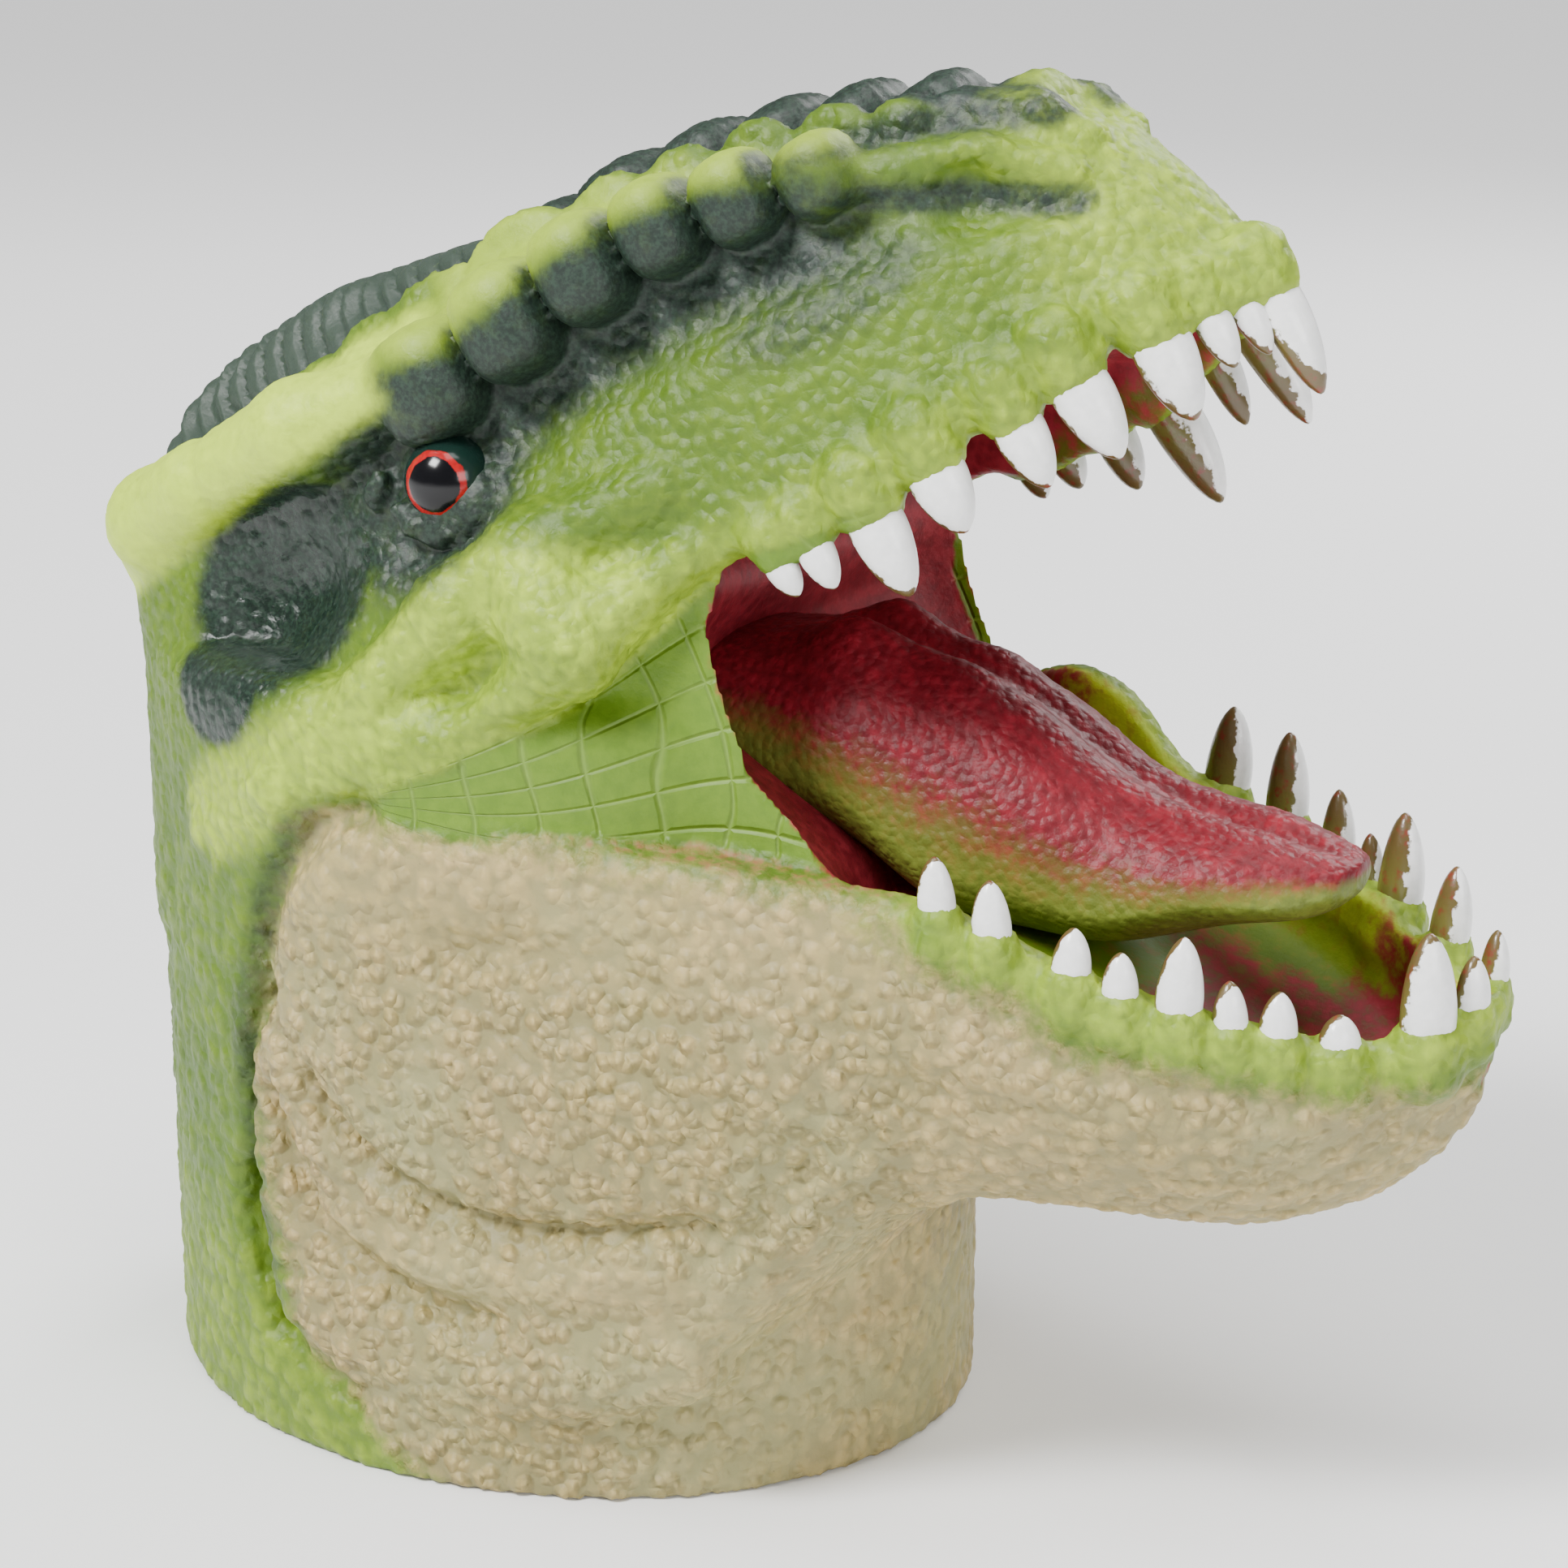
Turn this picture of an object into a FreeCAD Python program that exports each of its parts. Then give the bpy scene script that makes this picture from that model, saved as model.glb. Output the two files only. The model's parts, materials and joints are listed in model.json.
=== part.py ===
"""Hand puppet of a roaring dinosaur head with a moving upper head and lower jaw.

Frame: millimetres, +Z up, +X towards the nose, +Y towards the animal's left.
The origin is the centre of the oval neck opening, on the plane that the puppet stands on.
Every hollow shell is cut out of one smooth body by angular sectors about the jaw hinge,
a line along Y at the height hingeHeight, so the three bodies turn without touching.
Head measures use a tilted frame: "along" runs from the hinge to the nose at gapeAngle
above level, and "rise" is square to it.
"""
import FreeCAD, Part
import math
import os
from FreeCAD import Placement, Rotation, Vector

doc = FreeCAD.newDocument("puppet")

# ---------------------------------------------------------------- driving dimensions
SIZES = {
    "neckLength": 102.0,      # oval neck opening, front to back
    "neckWidth": 86.0,        # oval neck opening, side to side
    "neckRise": 97.0,         # height to which the neck tube runs before it is cut
    "wall": 3.6,              # rubber thickness
    "hingeHeight": 80.0,      # height of the jaw hinge line
    "hingeRelief": 3.0,       # radius left free around the hinge line
    "gapeAngle": 32.0,        # tilt of the upper mouth line, above level
    "skullStart": 29.0,       # sector of the upper head, degrees from +X towards +Z
    "skullSweep": 134.5,
    "neckStart": 169.5,       # sector of the neck
    "neckSweep": 148.0,
    "jawStart": -37.5,        # sector of the lower jaw
    "jawSweep": 36.5,
    "webStart": -0.5,         # sector of the cheek webs, between jaw and skull
    "webSweep": 28.5,
    "webReach": 45.0,         # how far the webs reach from the hinge
    "webThickness": 2.4,
    "webSpacing": 58.0,       # clear width between the two webs
    "throatReach": 40.0,      # inner radius of the wall at the back of the mouth
    "throatStart": -20.0,
    "throatSweep": 61.0,
    "palateRise": 9.0,        # height of the palate above the mouth line
    "palateRear": 40.0,       # where the palate starts, from the hinge
    "liningThickness": 3.0,   # palate and mouth floor
    "floorRear": 46.0,        # x where the mouth floor starts
    "floorTop": 65.0,         # its height there
    "floorSlope": 8.5,        # degrees down towards the chin
    "toothScale": 1.0,
    "scuteScale": 1.0,
    "eyeRadius": 5.6,
}

sheet = doc.addObject("Spreadsheet::Sheet", "sizes")
for row, (alias, value) in enumerate(SIZES.items(), start=1):
    sheet.set(f"A{row}", alias)
    sheet.set(f"B{row}", str(value))
    sheet.setAlias(f"B{row}", alias)
doc.recompute()

HINGE = Vector(0, 0, sheet.hingeHeight)
TO_SIDE = Rotation(Vector(1, 0, 0), 90)       # turns Z into -Y, and Y into Z
MARGIN = 60.0                                  # half length of a cutter across the head
REACH = 250.0                                  # a cutter's radius, past every surface

# Upper head sections: along, half widths at the lip, cheek, temple and brow, crown rise
SKULL_STATIONS = (
    (-34, 19, 19, 19, 13, 47.0),
    (-15, 35, 34, 32, 22, 48.5),
    (5, 40, 39, 34, 24, 49.0),
    (25, 37, 37, 31, 24, 48.5),
    (50, 30, 30, 28, 22, 47.0),
    (70, 25, 25, 23.5, 18, 42.5),
    (86, 18, 18, 17, 12.5, 35.5),
    (98, 10.5, 11, 10.5, 7, 25.0),
    (106, 3, 3.5, 3.5, 2, 9.0),
)
SKULL_BASE = -12.0                             # the loft starts below the mouth line
SKULL_SHARES = (0.17, 0.55, 0.87)              # cheek, temple and brow, as shares of the rise

# Lower jaw sections: x, half widths at the lip, side and underside, lip and chin heights
JAW_STATIONS = (
    (-8, 41, 43, 38, 82.0, 20.0),
    (9, 39.5, 42.4, 37.4, 80.0, 21.0),
    (25, 37, 41, 36, 78.0, 24.0),
    (40, 34.5, 38.3, 33, 76.4, 29.0),
    (55, 31, 34.5, 29, 74.8, 36.0),
    (75, 27.5, 29.5, 24, 70.0, 36.3),
    (93, 21, 22.5, 18, 65.0, 36.5),
    (105, 14, 15, 12, 62.0, 41.0),
    (113, 7, 8, 6, 63.0, 49.5),
    (117, 2.5, 2.5, 2, 65.0, 58.0),
)

# Tongue sections: x, centre height, half width, half thickness
TONGUE_STATIONS = (
    (46, 75, 15, 14),
    (60, 77, 14.5, 10.5),
    (75, 74, 13.5, 8.5),
    (88, 74.5, 11, 5.5),
    (97, 75, 7.5, 3.6),
    (101.5, 75, 3, 1.5),
)

# Teeth: along (or x), across, root height, length, radius; the front tooth comes first
UPPER_RIGHT_TEETH = (
    (105.3, -1.6, 2.0, 12.5, 3.0), (103.0, -5.3, 1.5, 6.0, 1.7), (100.2, -8.4, 2.0, 6.5, 1.8),
    (95.6, -11.8, 3.0, 10.0, 3.8), (88.0, -16.6, 3.0, 10.0, 3.9), (81.5, -19.8, 2.0, 8.2, 3.4),
    (72.8, -23.5, 2.0, 8.3, 3.9), (65.3, -26.0, 0.5, 10.0, 3.8), (58.5, -28.0, 0.0, 5.3, 2.3),
    (54.2, -29.1, 0.0, 4.0, 1.8),
)
UPPER_LEFT_TEETH = (
    (102.0, 5.5, 2.0, 5.5, 2.5), (95.3, 11.8, 2.0, 14.0, 3.6), (88.0, 16.6, 2.0, 9.5, 2.8),
    (77.5, 22.0, 2.0, 15.5, 4.2), (68.5, 25.3, 1.0, 8.0, 3.2), (60.5, 27.8, 1.0, 5.5, 2.8),
    (55.0, 29.0, 0.5, 4.0, 2.3),
)
LOWER_RIGHT_TEETH = (
    (114.4, -3.6, 63.5, 6.5, 2.2), (111.2, -7.8, 61.5, 12.0, 3.4), (104.0, -13.8, 60.5, 4.2, 2.9),
    (98.7, -17.7, 62.0, 5.8, 2.5), (94.5, -20.2, 63.0, 5.8, 2.3), (89.6, -22.5, 64.8, 9.0, 3.2),
    (84.1, -24.8, 66.0, 5.4, 2.4), (79.2, -26.3, 68.0, 5.8, 2.6), (71.2, -28.3, 71.8, 6.8, 2.7),
    (65.4, -29.5, 73.8, 6.5, 2.6),
)
LOWER_LEFT_TEETH = (
    (113.8, 4.6, 63.3, 6.3, 2.2), (105.8, 12.9, 61.3, 10.0, 3.0), (98.2, 18.1, 62.0, 13.0, 3.1),
    (94.0, 20.4, 63.0, 8.3, 1.7), (89.0, 22.8, 65.0, 10.5, 2.6), (81.6, 25.6, 67.5, 13.0, 3.2),
    (73.0, 28.1, 70.5, 13.0, 3.6),
)

ROOT_LATITUDE = 20                             # a tooth's root bulges this far past its base

# Scutes: along, half distance across, rise, then half length, half width, half height
BROW_SCUTES = (
    (30, 25.5, 34.5, 7.0, 5.0, 5.5), (41, 25.0, 36.0, 6.5, 5.0, 5.5), (50.5, 23.5, 37.5, 5.5, 4.6, 5.0),
    (58.5, 22.0, 36.5, 4.8, 4.4, 4.6), (67, 20.3, 34.8, 5.2, 4.2, 4.6), (75.5, 18.0, 32.0, 4.6, 3.8, 4.2),
    (86, 14.0, 27.5, 8.0, 3.0, 3.2),
)
CROWN_SCUTES = (
    (9, 14.6, 46, 6.0, 3.4, 3.5), (20, 13, 46, 6.0, 4.5, 3.5), (33, 13, 45.5, 8.0, 6.0, 4.5),
    (48, 12, 43.5, 6.5, 5.0, 4.0), (58, 11.5, 42, 5.0, 4.5, 4.0), (67, 11, 40, 5.0, 4.2, 4.0),
    (75, 10, 37, 4.5, 4.0, 4.0),
)
SPINE_SCUTES = (
    (33, 0, 46.5, 6.0, 7.0, 5.0), (43.5, 0, 46.0, 6.0, 7.0, 5.0), (53, 0, 44.5, 5.5, 6.5, 5.0),
    (62.5, 0, 42.5, 5.5, 6.0, 4.6), (71.5, 0, 39.8, 5.0, 5.5, 4.4), (80, 0, 36.5, 5.0, 5.0, 4.2),
    (88, 0, 32.0, 5.0, 4.5, 3.6),
)

parts = []


def publish(obj, name):
    """Give a finished sub-part the label that names its file."""
    obj.Label = name
    parts.append(obj)
    return obj


def tilt():
    """The turn that carries the level head frame up to the gape angle."""
    return Rotation(Vector(0, -1, 0), sheet.gapeAngle)


def head_point(along, across, rise):
    return HINGE + tilt().multVec(Vector(along, across, rise))


def boolean(kind, name, base, tool):
    result = doc.addObject(kind, name)
    result.Base = base
    result.Tool = tool
    return result


def sector(name, start_alias, sweep_alias, radius=REACH, width=2 * MARGIN):
    """A pie slice about the hinge line, from its start angle through its sweep."""
    pie = doc.addObject("Part::Cylinder", name)
    pie.Radius = radius
    pie.Height = width
    pie.setExpression("Angle", f"sizes.{sweep_alias}")
    turn = Rotation(Vector(0, -1, 0), getattr(sheet, start_alias)) * TO_SIDE
    pie.Placement = Placement(HINGE + Vector(0, width / 2, 0), turn)
    pie.setExpression("Placement.Base.z", "sizes.hingeHeight")
    return pie


def hinge_relief(name):
    """The small round space left free around the hinge line."""
    rod = doc.addObject("Part::Cylinder", name)
    rod.setExpression("Radius", "sizes.hingeRelief")
    rod.Height = 2 * MARGIN
    rod.Placement = Placement(HINGE + Vector(0, MARGIN, 0), TO_SIDE)
    return rod


def arch_wire(points, place):
    """A smooth arch through the points, closed by a straight line across its feet."""
    moved = [place(Vector(*point)) for point in points]
    arch = Part.BSplineCurve()
    arch.interpolate(moved)
    return Part.Wire([arch.toShape(), Part.makeLine(moved[-1], moved[0])])


def solid_feature(name, wires):
    feature = doc.addObject("Part::Feature", name)
    feature.Shape = Part.makeLoft(wires, True, False)
    return feature


def skull_body(name, inset):
    """The upper head's smooth body, or its hollow when inset by the wall."""
    wires = []
    last = len(SKULL_STATIONS) - 1
    for index, (along, lip, cheek, temple, brow, crown) in enumerate(SKULL_STATIONS):
        shift = inset if index == 0 else (-inset if index == last else 0)
        halves = [max(half - inset, 1.2) for half in (lip, cheek, temple, brow)]
        top = crown - inset
        rises = [SKULL_BASE - inset] + [share * top for share in SKULL_SHARES]
        left = [(along + shift, half, rise) for half, rise in zip(halves, rises)]
        right = [(a, -half, rise) for a, half, rise in reversed(left)]
        arch = left + [(along + shift, 0, top)] + right
        wires.append(arch_wire(arch, lambda p: HINGE + tilt().multVec(p)))
    return solid_feature(name, wires)


def jaw_body(name, inset):
    """The lower jaw's smooth body, or its hollow, which is open above the lip."""
    wires = []
    last = len(JAW_STATIONS) - 1
    for index, (x, lip, side, under, lip_z, chin_z) in enumerate(JAW_STATIONS):
        shift = -inset if index in (0, last) else 0
        low, high = chin_z + inset, lip_z + inset
        heights = (high, low + 0.62 * (high - low), low + 0.18 * (high - low))
        halves = [max(half - inset, 1.2) for half in (lip, side, under)]
        left = [(x + shift, half, height) for half, height in zip(halves, heights)]
        right = [(a, -half, height) for a, half, height in reversed(left)]
        wires.append(arch_wire(left + [(x + shift, 0, low)] + right, lambda p: p))
    return solid_feature(name, wires)


def neck_tube():
    """The oval neck wall, one ellipse extruded and a smaller one taken out."""
    tubes = []
    for name, trim in (("neck_outer", "0"), ("neck_inner", "sizes.wall")):
        rim = doc.addObject("Part::Ellipse", name + "_rim")
        rim.setExpression("MajorRadius", f"sizes.neckLength / 2 - {trim}")
        rim.setExpression("MinorRadius", f"sizes.neckWidth / 2 - {trim}")
        tube = doc.addObject("Part::Extrusion", name)
        tube.Base = rim
        tube.DirMode = "Custom"
        tube.Dir = Vector(0, 0, 1)
        tube.Solid = True
        tube.setExpression("LengthFwd", "sizes.neckRise")
        tubes.append(tube)
    return boolean("Part::Cut", "neck_wall", *tubes)


def shell(name, body, hollow, slice_of):
    """A body's wall inside one sector, clear of the hinge line."""
    block = boolean("Part::Common", name + "_block", body, slice_of)
    relieved = boolean("Part::Cut", name + "_relieved", block, hinge_relief(name + "_relief"))
    wall = boolean("Part::Cut", name + "_wall", relieved, hollow)
    return relieved, wall


def slab(name, corner, turn, size_x):
    """A wide flat plate of the lining thickness."""
    plate = doc.addObject("Part::Box", name)
    plate.Length = size_x
    plate.Width = 2 * MARGIN
    plate.setExpression("Height", "sizes.liningThickness")
    plate.Placement = Placement(corner, turn)
    return plate


def ellipsoid(name, centre, turn, half_sizes, scale_alias, low=-90, high=90):
    """Half sizes are given along the turned X, Y and Z; low and high are its latitudes."""
    ball = doc.addObject("Part::Ellipsoid", name)
    ball.setExpression("Radius2", f"{half_sizes[0]} * sizes.{scale_alias}")
    ball.setExpression("Radius3", f"{half_sizes[1]} * sizes.{scale_alias}")
    ball.setExpression("Radius1", f"{half_sizes[2]} * sizes.{scale_alias}")
    ball.Angle1 = low
    ball.Angle2 = high
    ball.Angle3 = 360
    ball.Placement = Placement(centre, turn)
    return ball


def raised(name, shape, block):
    """What stands proud of the block: the moulded piece on its surface."""
    return publish(boolean("Part::Cut", name + "_raised", shape, block), name)


def teeth(prefix, rows, block, upper):
    """A row of pointed teeth, each in its own node, seated on the lip."""
    for number, (along, across, root, length, radius) in enumerate(rows, start=1):
        if upper:
            centre, turn = head_point(along, across, root), tilt()
            low, high = -90, ROOT_LATITUDE
        else:
            centre, turn = Vector(along, across, root), Rotation()
            low, high = -ROOT_LATITUDE, 90
        name = f"{prefix}_{number}"
        half_sizes = (radius, 0.85 * radius, length)
        cone = ellipsoid(name + "_form", centre, turn, half_sizes, "toothScale", low, high)
        raised(name, cone, block)


def scute_row(name, rows, side, block):
    """Overlapping raised plates along the head, fused into one strip and seated on the skull."""
    plates = []
    for number, (along, across, rise, half_length, half_width, half_height) in enumerate(rows):
        plate = ellipsoid(f"{name}_{number}", head_point(along, side * across, rise), tilt(),
                          (half_length, half_width, half_height), "scuteScale")
        plates.append(plate)
    strip = doc.addObject("Part::MultiFuse", name + "_strip")
    strip.Shapes = plates
    raised(name, strip, block)


# ---------------------------------------------------------------- shells
neck_slice = sector("neck_slice", "neckStart", "neckSweep")
neck = boolean("Part::Common", "neck_cut", neck_tube(), neck_slice)
publish(boolean("Part::Cut", "neck_clear", neck, hinge_relief("neck_relief")), "neck_sleeve")

skull_outer = skull_body("skull_outer", 0.0)
skull_hollow = skull_body("skull_hollow", sheet.wall)
skull_slice = sector("skull_slice", "skullStart", "skullSweep")
skull_block, skull_wall = shell("skull", skull_outer, skull_hollow, skull_slice)
publish(skull_wall, "skull_shell")

jaw_outer = jaw_body("jaw_outer", 0.0)
jaw_hollow = jaw_body("jaw_hollow", sheet.wall)
jaw_slice = sector("jaw_slice", "jawStart", "jawSweep")
jaw_block, jaw_wall = shell("jaw", jaw_outer, jaw_hollow, jaw_slice)
publish(jaw_wall, "jaw_shell")

# ---------------------------------------------------------------- mouth linings
palate_slab = slab("palate_slab", head_point(sheet.palateRear, -MARGIN, sheet.palateRise), tilt(), REACH)
publish(boolean("Part::Common", "palate_fit", palate_slab, skull_hollow), "palate")

floor_turn = Rotation(Vector(0, 1, 0), sheet.floorSlope)
floor_corner = Vector(sheet.floorRear, -MARGIN, sheet.floorTop - sheet.liningThickness)
floor_slab = slab("floor_slab", floor_corner, floor_turn, REACH)
publish(boolean("Part::Common", "floor_fit", floor_slab, jaw_hollow), "mouth_floor")

throat_width = sheet.webSpacing - 2 * sheet.webThickness
throat_outer = sector("throat_outer", "throatStart", "throatSweep",
                      sheet.throatReach + sheet.webThickness, throat_width)
throat_inner = sector("throat_inner", "throatStart", "throatSweep", sheet.throatReach, throat_width)
publish(boolean("Part::Cut", "throat_curve", throat_outer, throat_inner), "throat_wall")

for side_name, side in (("right", -1), ("left", 1)):
    web = sector(f"web_{side_name}_pie", "webStart", "webSweep", sheet.webReach, sheet.webThickness)
    web.setExpression("Radius", "sizes.webReach")
    web.setExpression("Height", "sizes.webThickness")
    middle = side * (sheet.webSpacing + sheet.webThickness) / 2
    web.Placement.Base.y = middle + sheet.webThickness / 2
    relief = hinge_relief(f"web_{side_name}_relief")
    publish(boolean("Part::Cut", f"web_{side_name}_cut", web, relief), f"cheek_web_{side_name}")

# ---------------------------------------------------------------- tongue
tongue_wires = []
for x, centre_z, half_width, half_thickness in TONGUE_STATIONS:
    oval = Part.Ellipse(Vector(x, half_width, centre_z), Vector(x, 0, centre_z + half_thickness),
                        Vector(x, 0, centre_z))
    tongue_wires.append(Part.Wire([oval.toShape()]))
tongue_form = solid_feature("tongue_form", tongue_wires)
under_floor = doc.addObject("Part::Box", "under_floor")
under_floor.Length = REACH
under_floor.Width = 2 * MARGIN
under_floor.Height = MARGIN
under_floor.Placement = Placement(
    Vector(sheet.floorRear, -MARGIN, sheet.floorTop) - floor_turn.multVec(Vector(20, 0, MARGIN)), floor_turn)
publish(boolean("Part::Cut", "tongue_seated", tongue_form, under_floor), "tongue")

# ---------------------------------------------------------------- moulded features of the head
crest = ellipsoid("crest_form", head_point(-4, 0, 41), tilt(), (27, 12, 17.5), "scuteScale")
raised("nape_crest", crest, skull_block)
scute_row("spine_scutes", SPINE_SCUTES, 0, skull_block)
for side_name, side in (("right", -1), ("left", 1)):
    ridge = ellipsoid(f"ridge_{side_name}", head_point(-3, side * 22, 42.5), tilt(), (23, 5, 5), "scuteScale")
    raised(f"brow_ridge_{side_name}", ridge, skull_block)
    scute_row(f"brow_scutes_{side_name}", BROW_SCUTES, side, skull_block)
    scute_row(f"crown_scutes_{side_name}", CROWN_SCUTES, side, skull_block)
    ball = doc.addObject("Part::Sphere", f"eye_{side_name}_ball")
    ball.setExpression("Radius", "sizes.eyeRadius")
    ball.Placement = Placement(head_point(22, side * 28.5, 25.8), Rotation())
    raised(f"eye_{side_name}", ball, skull_block)

# ---------------------------------------------------------------- teeth
teeth("upper_tooth_right", UPPER_RIGHT_TEETH, skull_block, True)
teeth("upper_tooth_left", UPPER_LEFT_TEETH, skull_block, True)
teeth("lower_tooth_right", LOWER_RIGHT_TEETH, jaw_block, False)
teeth("lower_tooth_left", LOWER_LEFT_TEETH, jaw_block, False)

# ---------------------------------------------------------------- checks and files
doc.recompute()
for obj in doc.Objects:
    if "Invalid" in obj.State or "Error" in obj.State:
        raise RuntimeError(f"{obj.Name} did not build: {obj.State}")

os.makedirs("parts", exist_ok=True)
for part in parts:
    shape = part.Shape
    if shape.isNull() or not shape.isValid() or not shape.Solids:
        raise RuntimeError(f"{part.Label} has no valid solid")
    if not math.isfinite(shape.Volume) or shape.Volume <= 0:
        raise RuntimeError(f"{part.Label} has volume {shape.Volume}")
    shape.exportStep(f"parts/{part.Label}.step")
    box = shape.BoundBox
    print(f"{part.Label}: {shape.Volume:.0f} mm3, {len(shape.Solids)} solid(s), "
          f"x {box.XMin:.1f}..{box.XMax:.1f}, y {box.YMin:.1f}..{box.YMax:.1f}, "
          f"z {box.ZMin:.1f}..{box.ZMax:.1f}")
print(len(parts), "sub-parts")
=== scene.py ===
"""Looks of the roaring dinosaur hand puppet: one soft skin sculpted as a distance field.

Lengths in the sculpting code are millimetres in the frame of the CAD model: +X to the nose,
+Y to the animal's left, +Z up, origin at the middle of the neck opening. Meshes are made in metres.
"""
import json
import math

import bpy
import numpy as np
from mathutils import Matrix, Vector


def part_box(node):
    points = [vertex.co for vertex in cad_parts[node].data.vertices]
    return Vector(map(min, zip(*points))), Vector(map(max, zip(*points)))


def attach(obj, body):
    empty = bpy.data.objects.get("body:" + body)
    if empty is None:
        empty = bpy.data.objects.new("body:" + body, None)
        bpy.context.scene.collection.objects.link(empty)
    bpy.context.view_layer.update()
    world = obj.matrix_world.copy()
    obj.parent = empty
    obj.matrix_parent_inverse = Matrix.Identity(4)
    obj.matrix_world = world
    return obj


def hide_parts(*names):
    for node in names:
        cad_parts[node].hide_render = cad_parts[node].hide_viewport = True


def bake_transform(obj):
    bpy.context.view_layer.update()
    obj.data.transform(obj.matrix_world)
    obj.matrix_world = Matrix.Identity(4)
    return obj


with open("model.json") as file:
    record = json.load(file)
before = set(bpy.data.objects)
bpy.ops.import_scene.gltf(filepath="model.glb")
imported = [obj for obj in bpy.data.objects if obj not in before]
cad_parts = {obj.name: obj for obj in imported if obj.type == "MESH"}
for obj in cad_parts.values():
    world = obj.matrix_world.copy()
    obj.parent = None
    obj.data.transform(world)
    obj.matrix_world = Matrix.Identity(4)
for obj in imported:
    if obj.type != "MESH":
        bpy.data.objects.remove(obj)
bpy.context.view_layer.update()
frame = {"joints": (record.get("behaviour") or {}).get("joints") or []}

import openvdb
from mathutils import Vector

MM = 0.001
HINGE_Z = frame["joints"][0]["pos_m"][2] / MM
GAPE = math.radians(32.0)          # tilt of the upper mouth line
WALL = 3.5                         # thickness of the rubber
SEAM_LEAN = math.radians(12.0)     # tilt of the cut between the upper head and the rest
EYE_CENTRE = (22.2, 29.4, 25.8)    # along the head, across, rise
EYE_RADIUS = 5.1
TIP_START = 95.5                   # where the tongue starts to round off
GUM_REACH = 9.0                    # half width of the box worked on around a tooth's root
NECK_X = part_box("neck_sleeve")[1][0] / MM
NECK_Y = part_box("neck_sleeve")[1][1] / MM
VOXEL = 0.8
GRID_LOW = np.array([-60.0, -54.0, -7.0])
GRID_HIGH = np.array([124.0, 54.0, 166.0])
HASH = np.array([73856093, 19349663, 83492791])


# ---- small field tools
def join(a, b, k):
    """Union of two solids, rounded over the length k."""
    h = np.clip(0.5 + 0.5 * (b - a) / k, 0.0, 1.0)
    return b + (a - b) * h - k * h * (1.0 - h)


def meet(a, b, k):
    """What two solids have in common, rounded over the length k."""
    return -join(-a, -b, k)


def cut(a, b, k):
    """The first solid without the second."""
    return -join(-a, b, k)


def step(low, high, value):
    t = np.clip((value - low) / (high - low), 0.0, 1.0)
    return t * t * (3.0 - 2.0 * t)


def curve(points):
    """A smooth curve through (place, value) points, as a function of place."""
    places, values = np.array(points, float).T
    slopes = np.gradient(values, places)
    fine = np.linspace(places[0], places[-1], 400)
    index = np.clip(np.searchsorted(places, fine) - 1, 0, len(places) - 2)
    width = places[index + 1] - places[index]
    t = (fine - places[index]) / width
    shape = ((2 * t**3 - 3 * t**2 + 1) * values[index] + (t**3 - 2 * t**2 + t) * width * slopes[index]
             + (3 * t**2 - 2 * t**3) * values[index + 1] + (t**3 - t**2) * width * slopes[index + 1])
    return lambda q: np.interp(q, fine, shape).astype(np.float32)


def head_frame(x, z):
    """Along the head and rise square to it, both from the hinge."""
    up = z - HINGE_Z
    return x * math.cos(GAPE) + up * math.sin(GAPE), up * math.cos(GAPE) - x * math.sin(GAPE)


def head_point(along, across, rise):
    x = along * math.cos(GAPE) - rise * math.sin(GAPE)
    z = HINGE_Z + along * math.sin(GAPE) + rise * math.cos(GAPE)
    return np.array([x, across, z])


def unit(vector):
    return vector / np.linalg.norm(vector)


def ellipsoid(place, centre, radii):
    q = np.sqrt(sum(((p - m) / r)**2 for p, m, r in zip(place, centre, radii)))
    return (q - 1.0) * min(radii)


def plate(place, centre, radii):
    """Like an ellipsoid, but squarer."""
    q = sum(np.abs((p - m) / r)**3 for p, m, r in zip(place, centre, radii))**(1.0 / 3.0)
    return (q - 1.0) * min(radii)


def capsule(place, start, end, radius_start, radius_end):
    start = np.array(start, float)
    line = np.array(end, float) - start
    away = [p - s for p, s in zip(place, start)]
    t = np.clip(sum(p * d for p, d in zip(away, line)) / float(line @ line), 0.0, 1.0)
    away = np.sqrt(sum((p - t * d)**2 for p, d in zip(away, line)))
    return away - (radius_start + (radius_end - radius_start) * t)


def chain(place, points, radii, k=2.0):
    """Capsules joined end to end along a line of points."""
    field = None
    for ends in zip(points, points[1:], radii, radii[1:]):
        piece = capsule(place, *ends)
        field = piece if field is None else join(field, piece, k)
    return field


def line_distance(a, b, points):
    """Distance to an open line of points in a plane."""
    best = np.full(np.broadcast(a, b).shape, 1e9, np.float32)
    for (ax, az), (bx, bz) in zip(points, points[1:]):
        dx, dz = bx - ax, bz - az
        t = np.clip(((a - ax) * dx + (b - az) * dz) / (dx * dx + dz * dz), 0.0, 1.0)
        best = np.minimum(best, np.hypot(a - ax - t * dx, b - az - t * dz))
    return best


def outline_distance(a, b, points):
    """Signed distance to a closed outline in a plane, negative inside."""
    closed = points + points[:1]
    best = line_distance(a, b, closed)
    inside = np.zeros(best.shape, bool)
    for (ax, az), (bx, bz) in zip(closed, closed[1:]):
        crosses = (az > b) != (bz > b)
        inside ^= crosses & (a < ax + (b - az) * (bx - ax) / ((bz - az) or 1e-9))
    return np.where(inside, -best, best)


def far_side(y):
    """0 on the near side of the head, 1 on the far side: the snout of the photo is slightly twisted."""
    return step(-8.0, 8.0, y)


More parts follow.
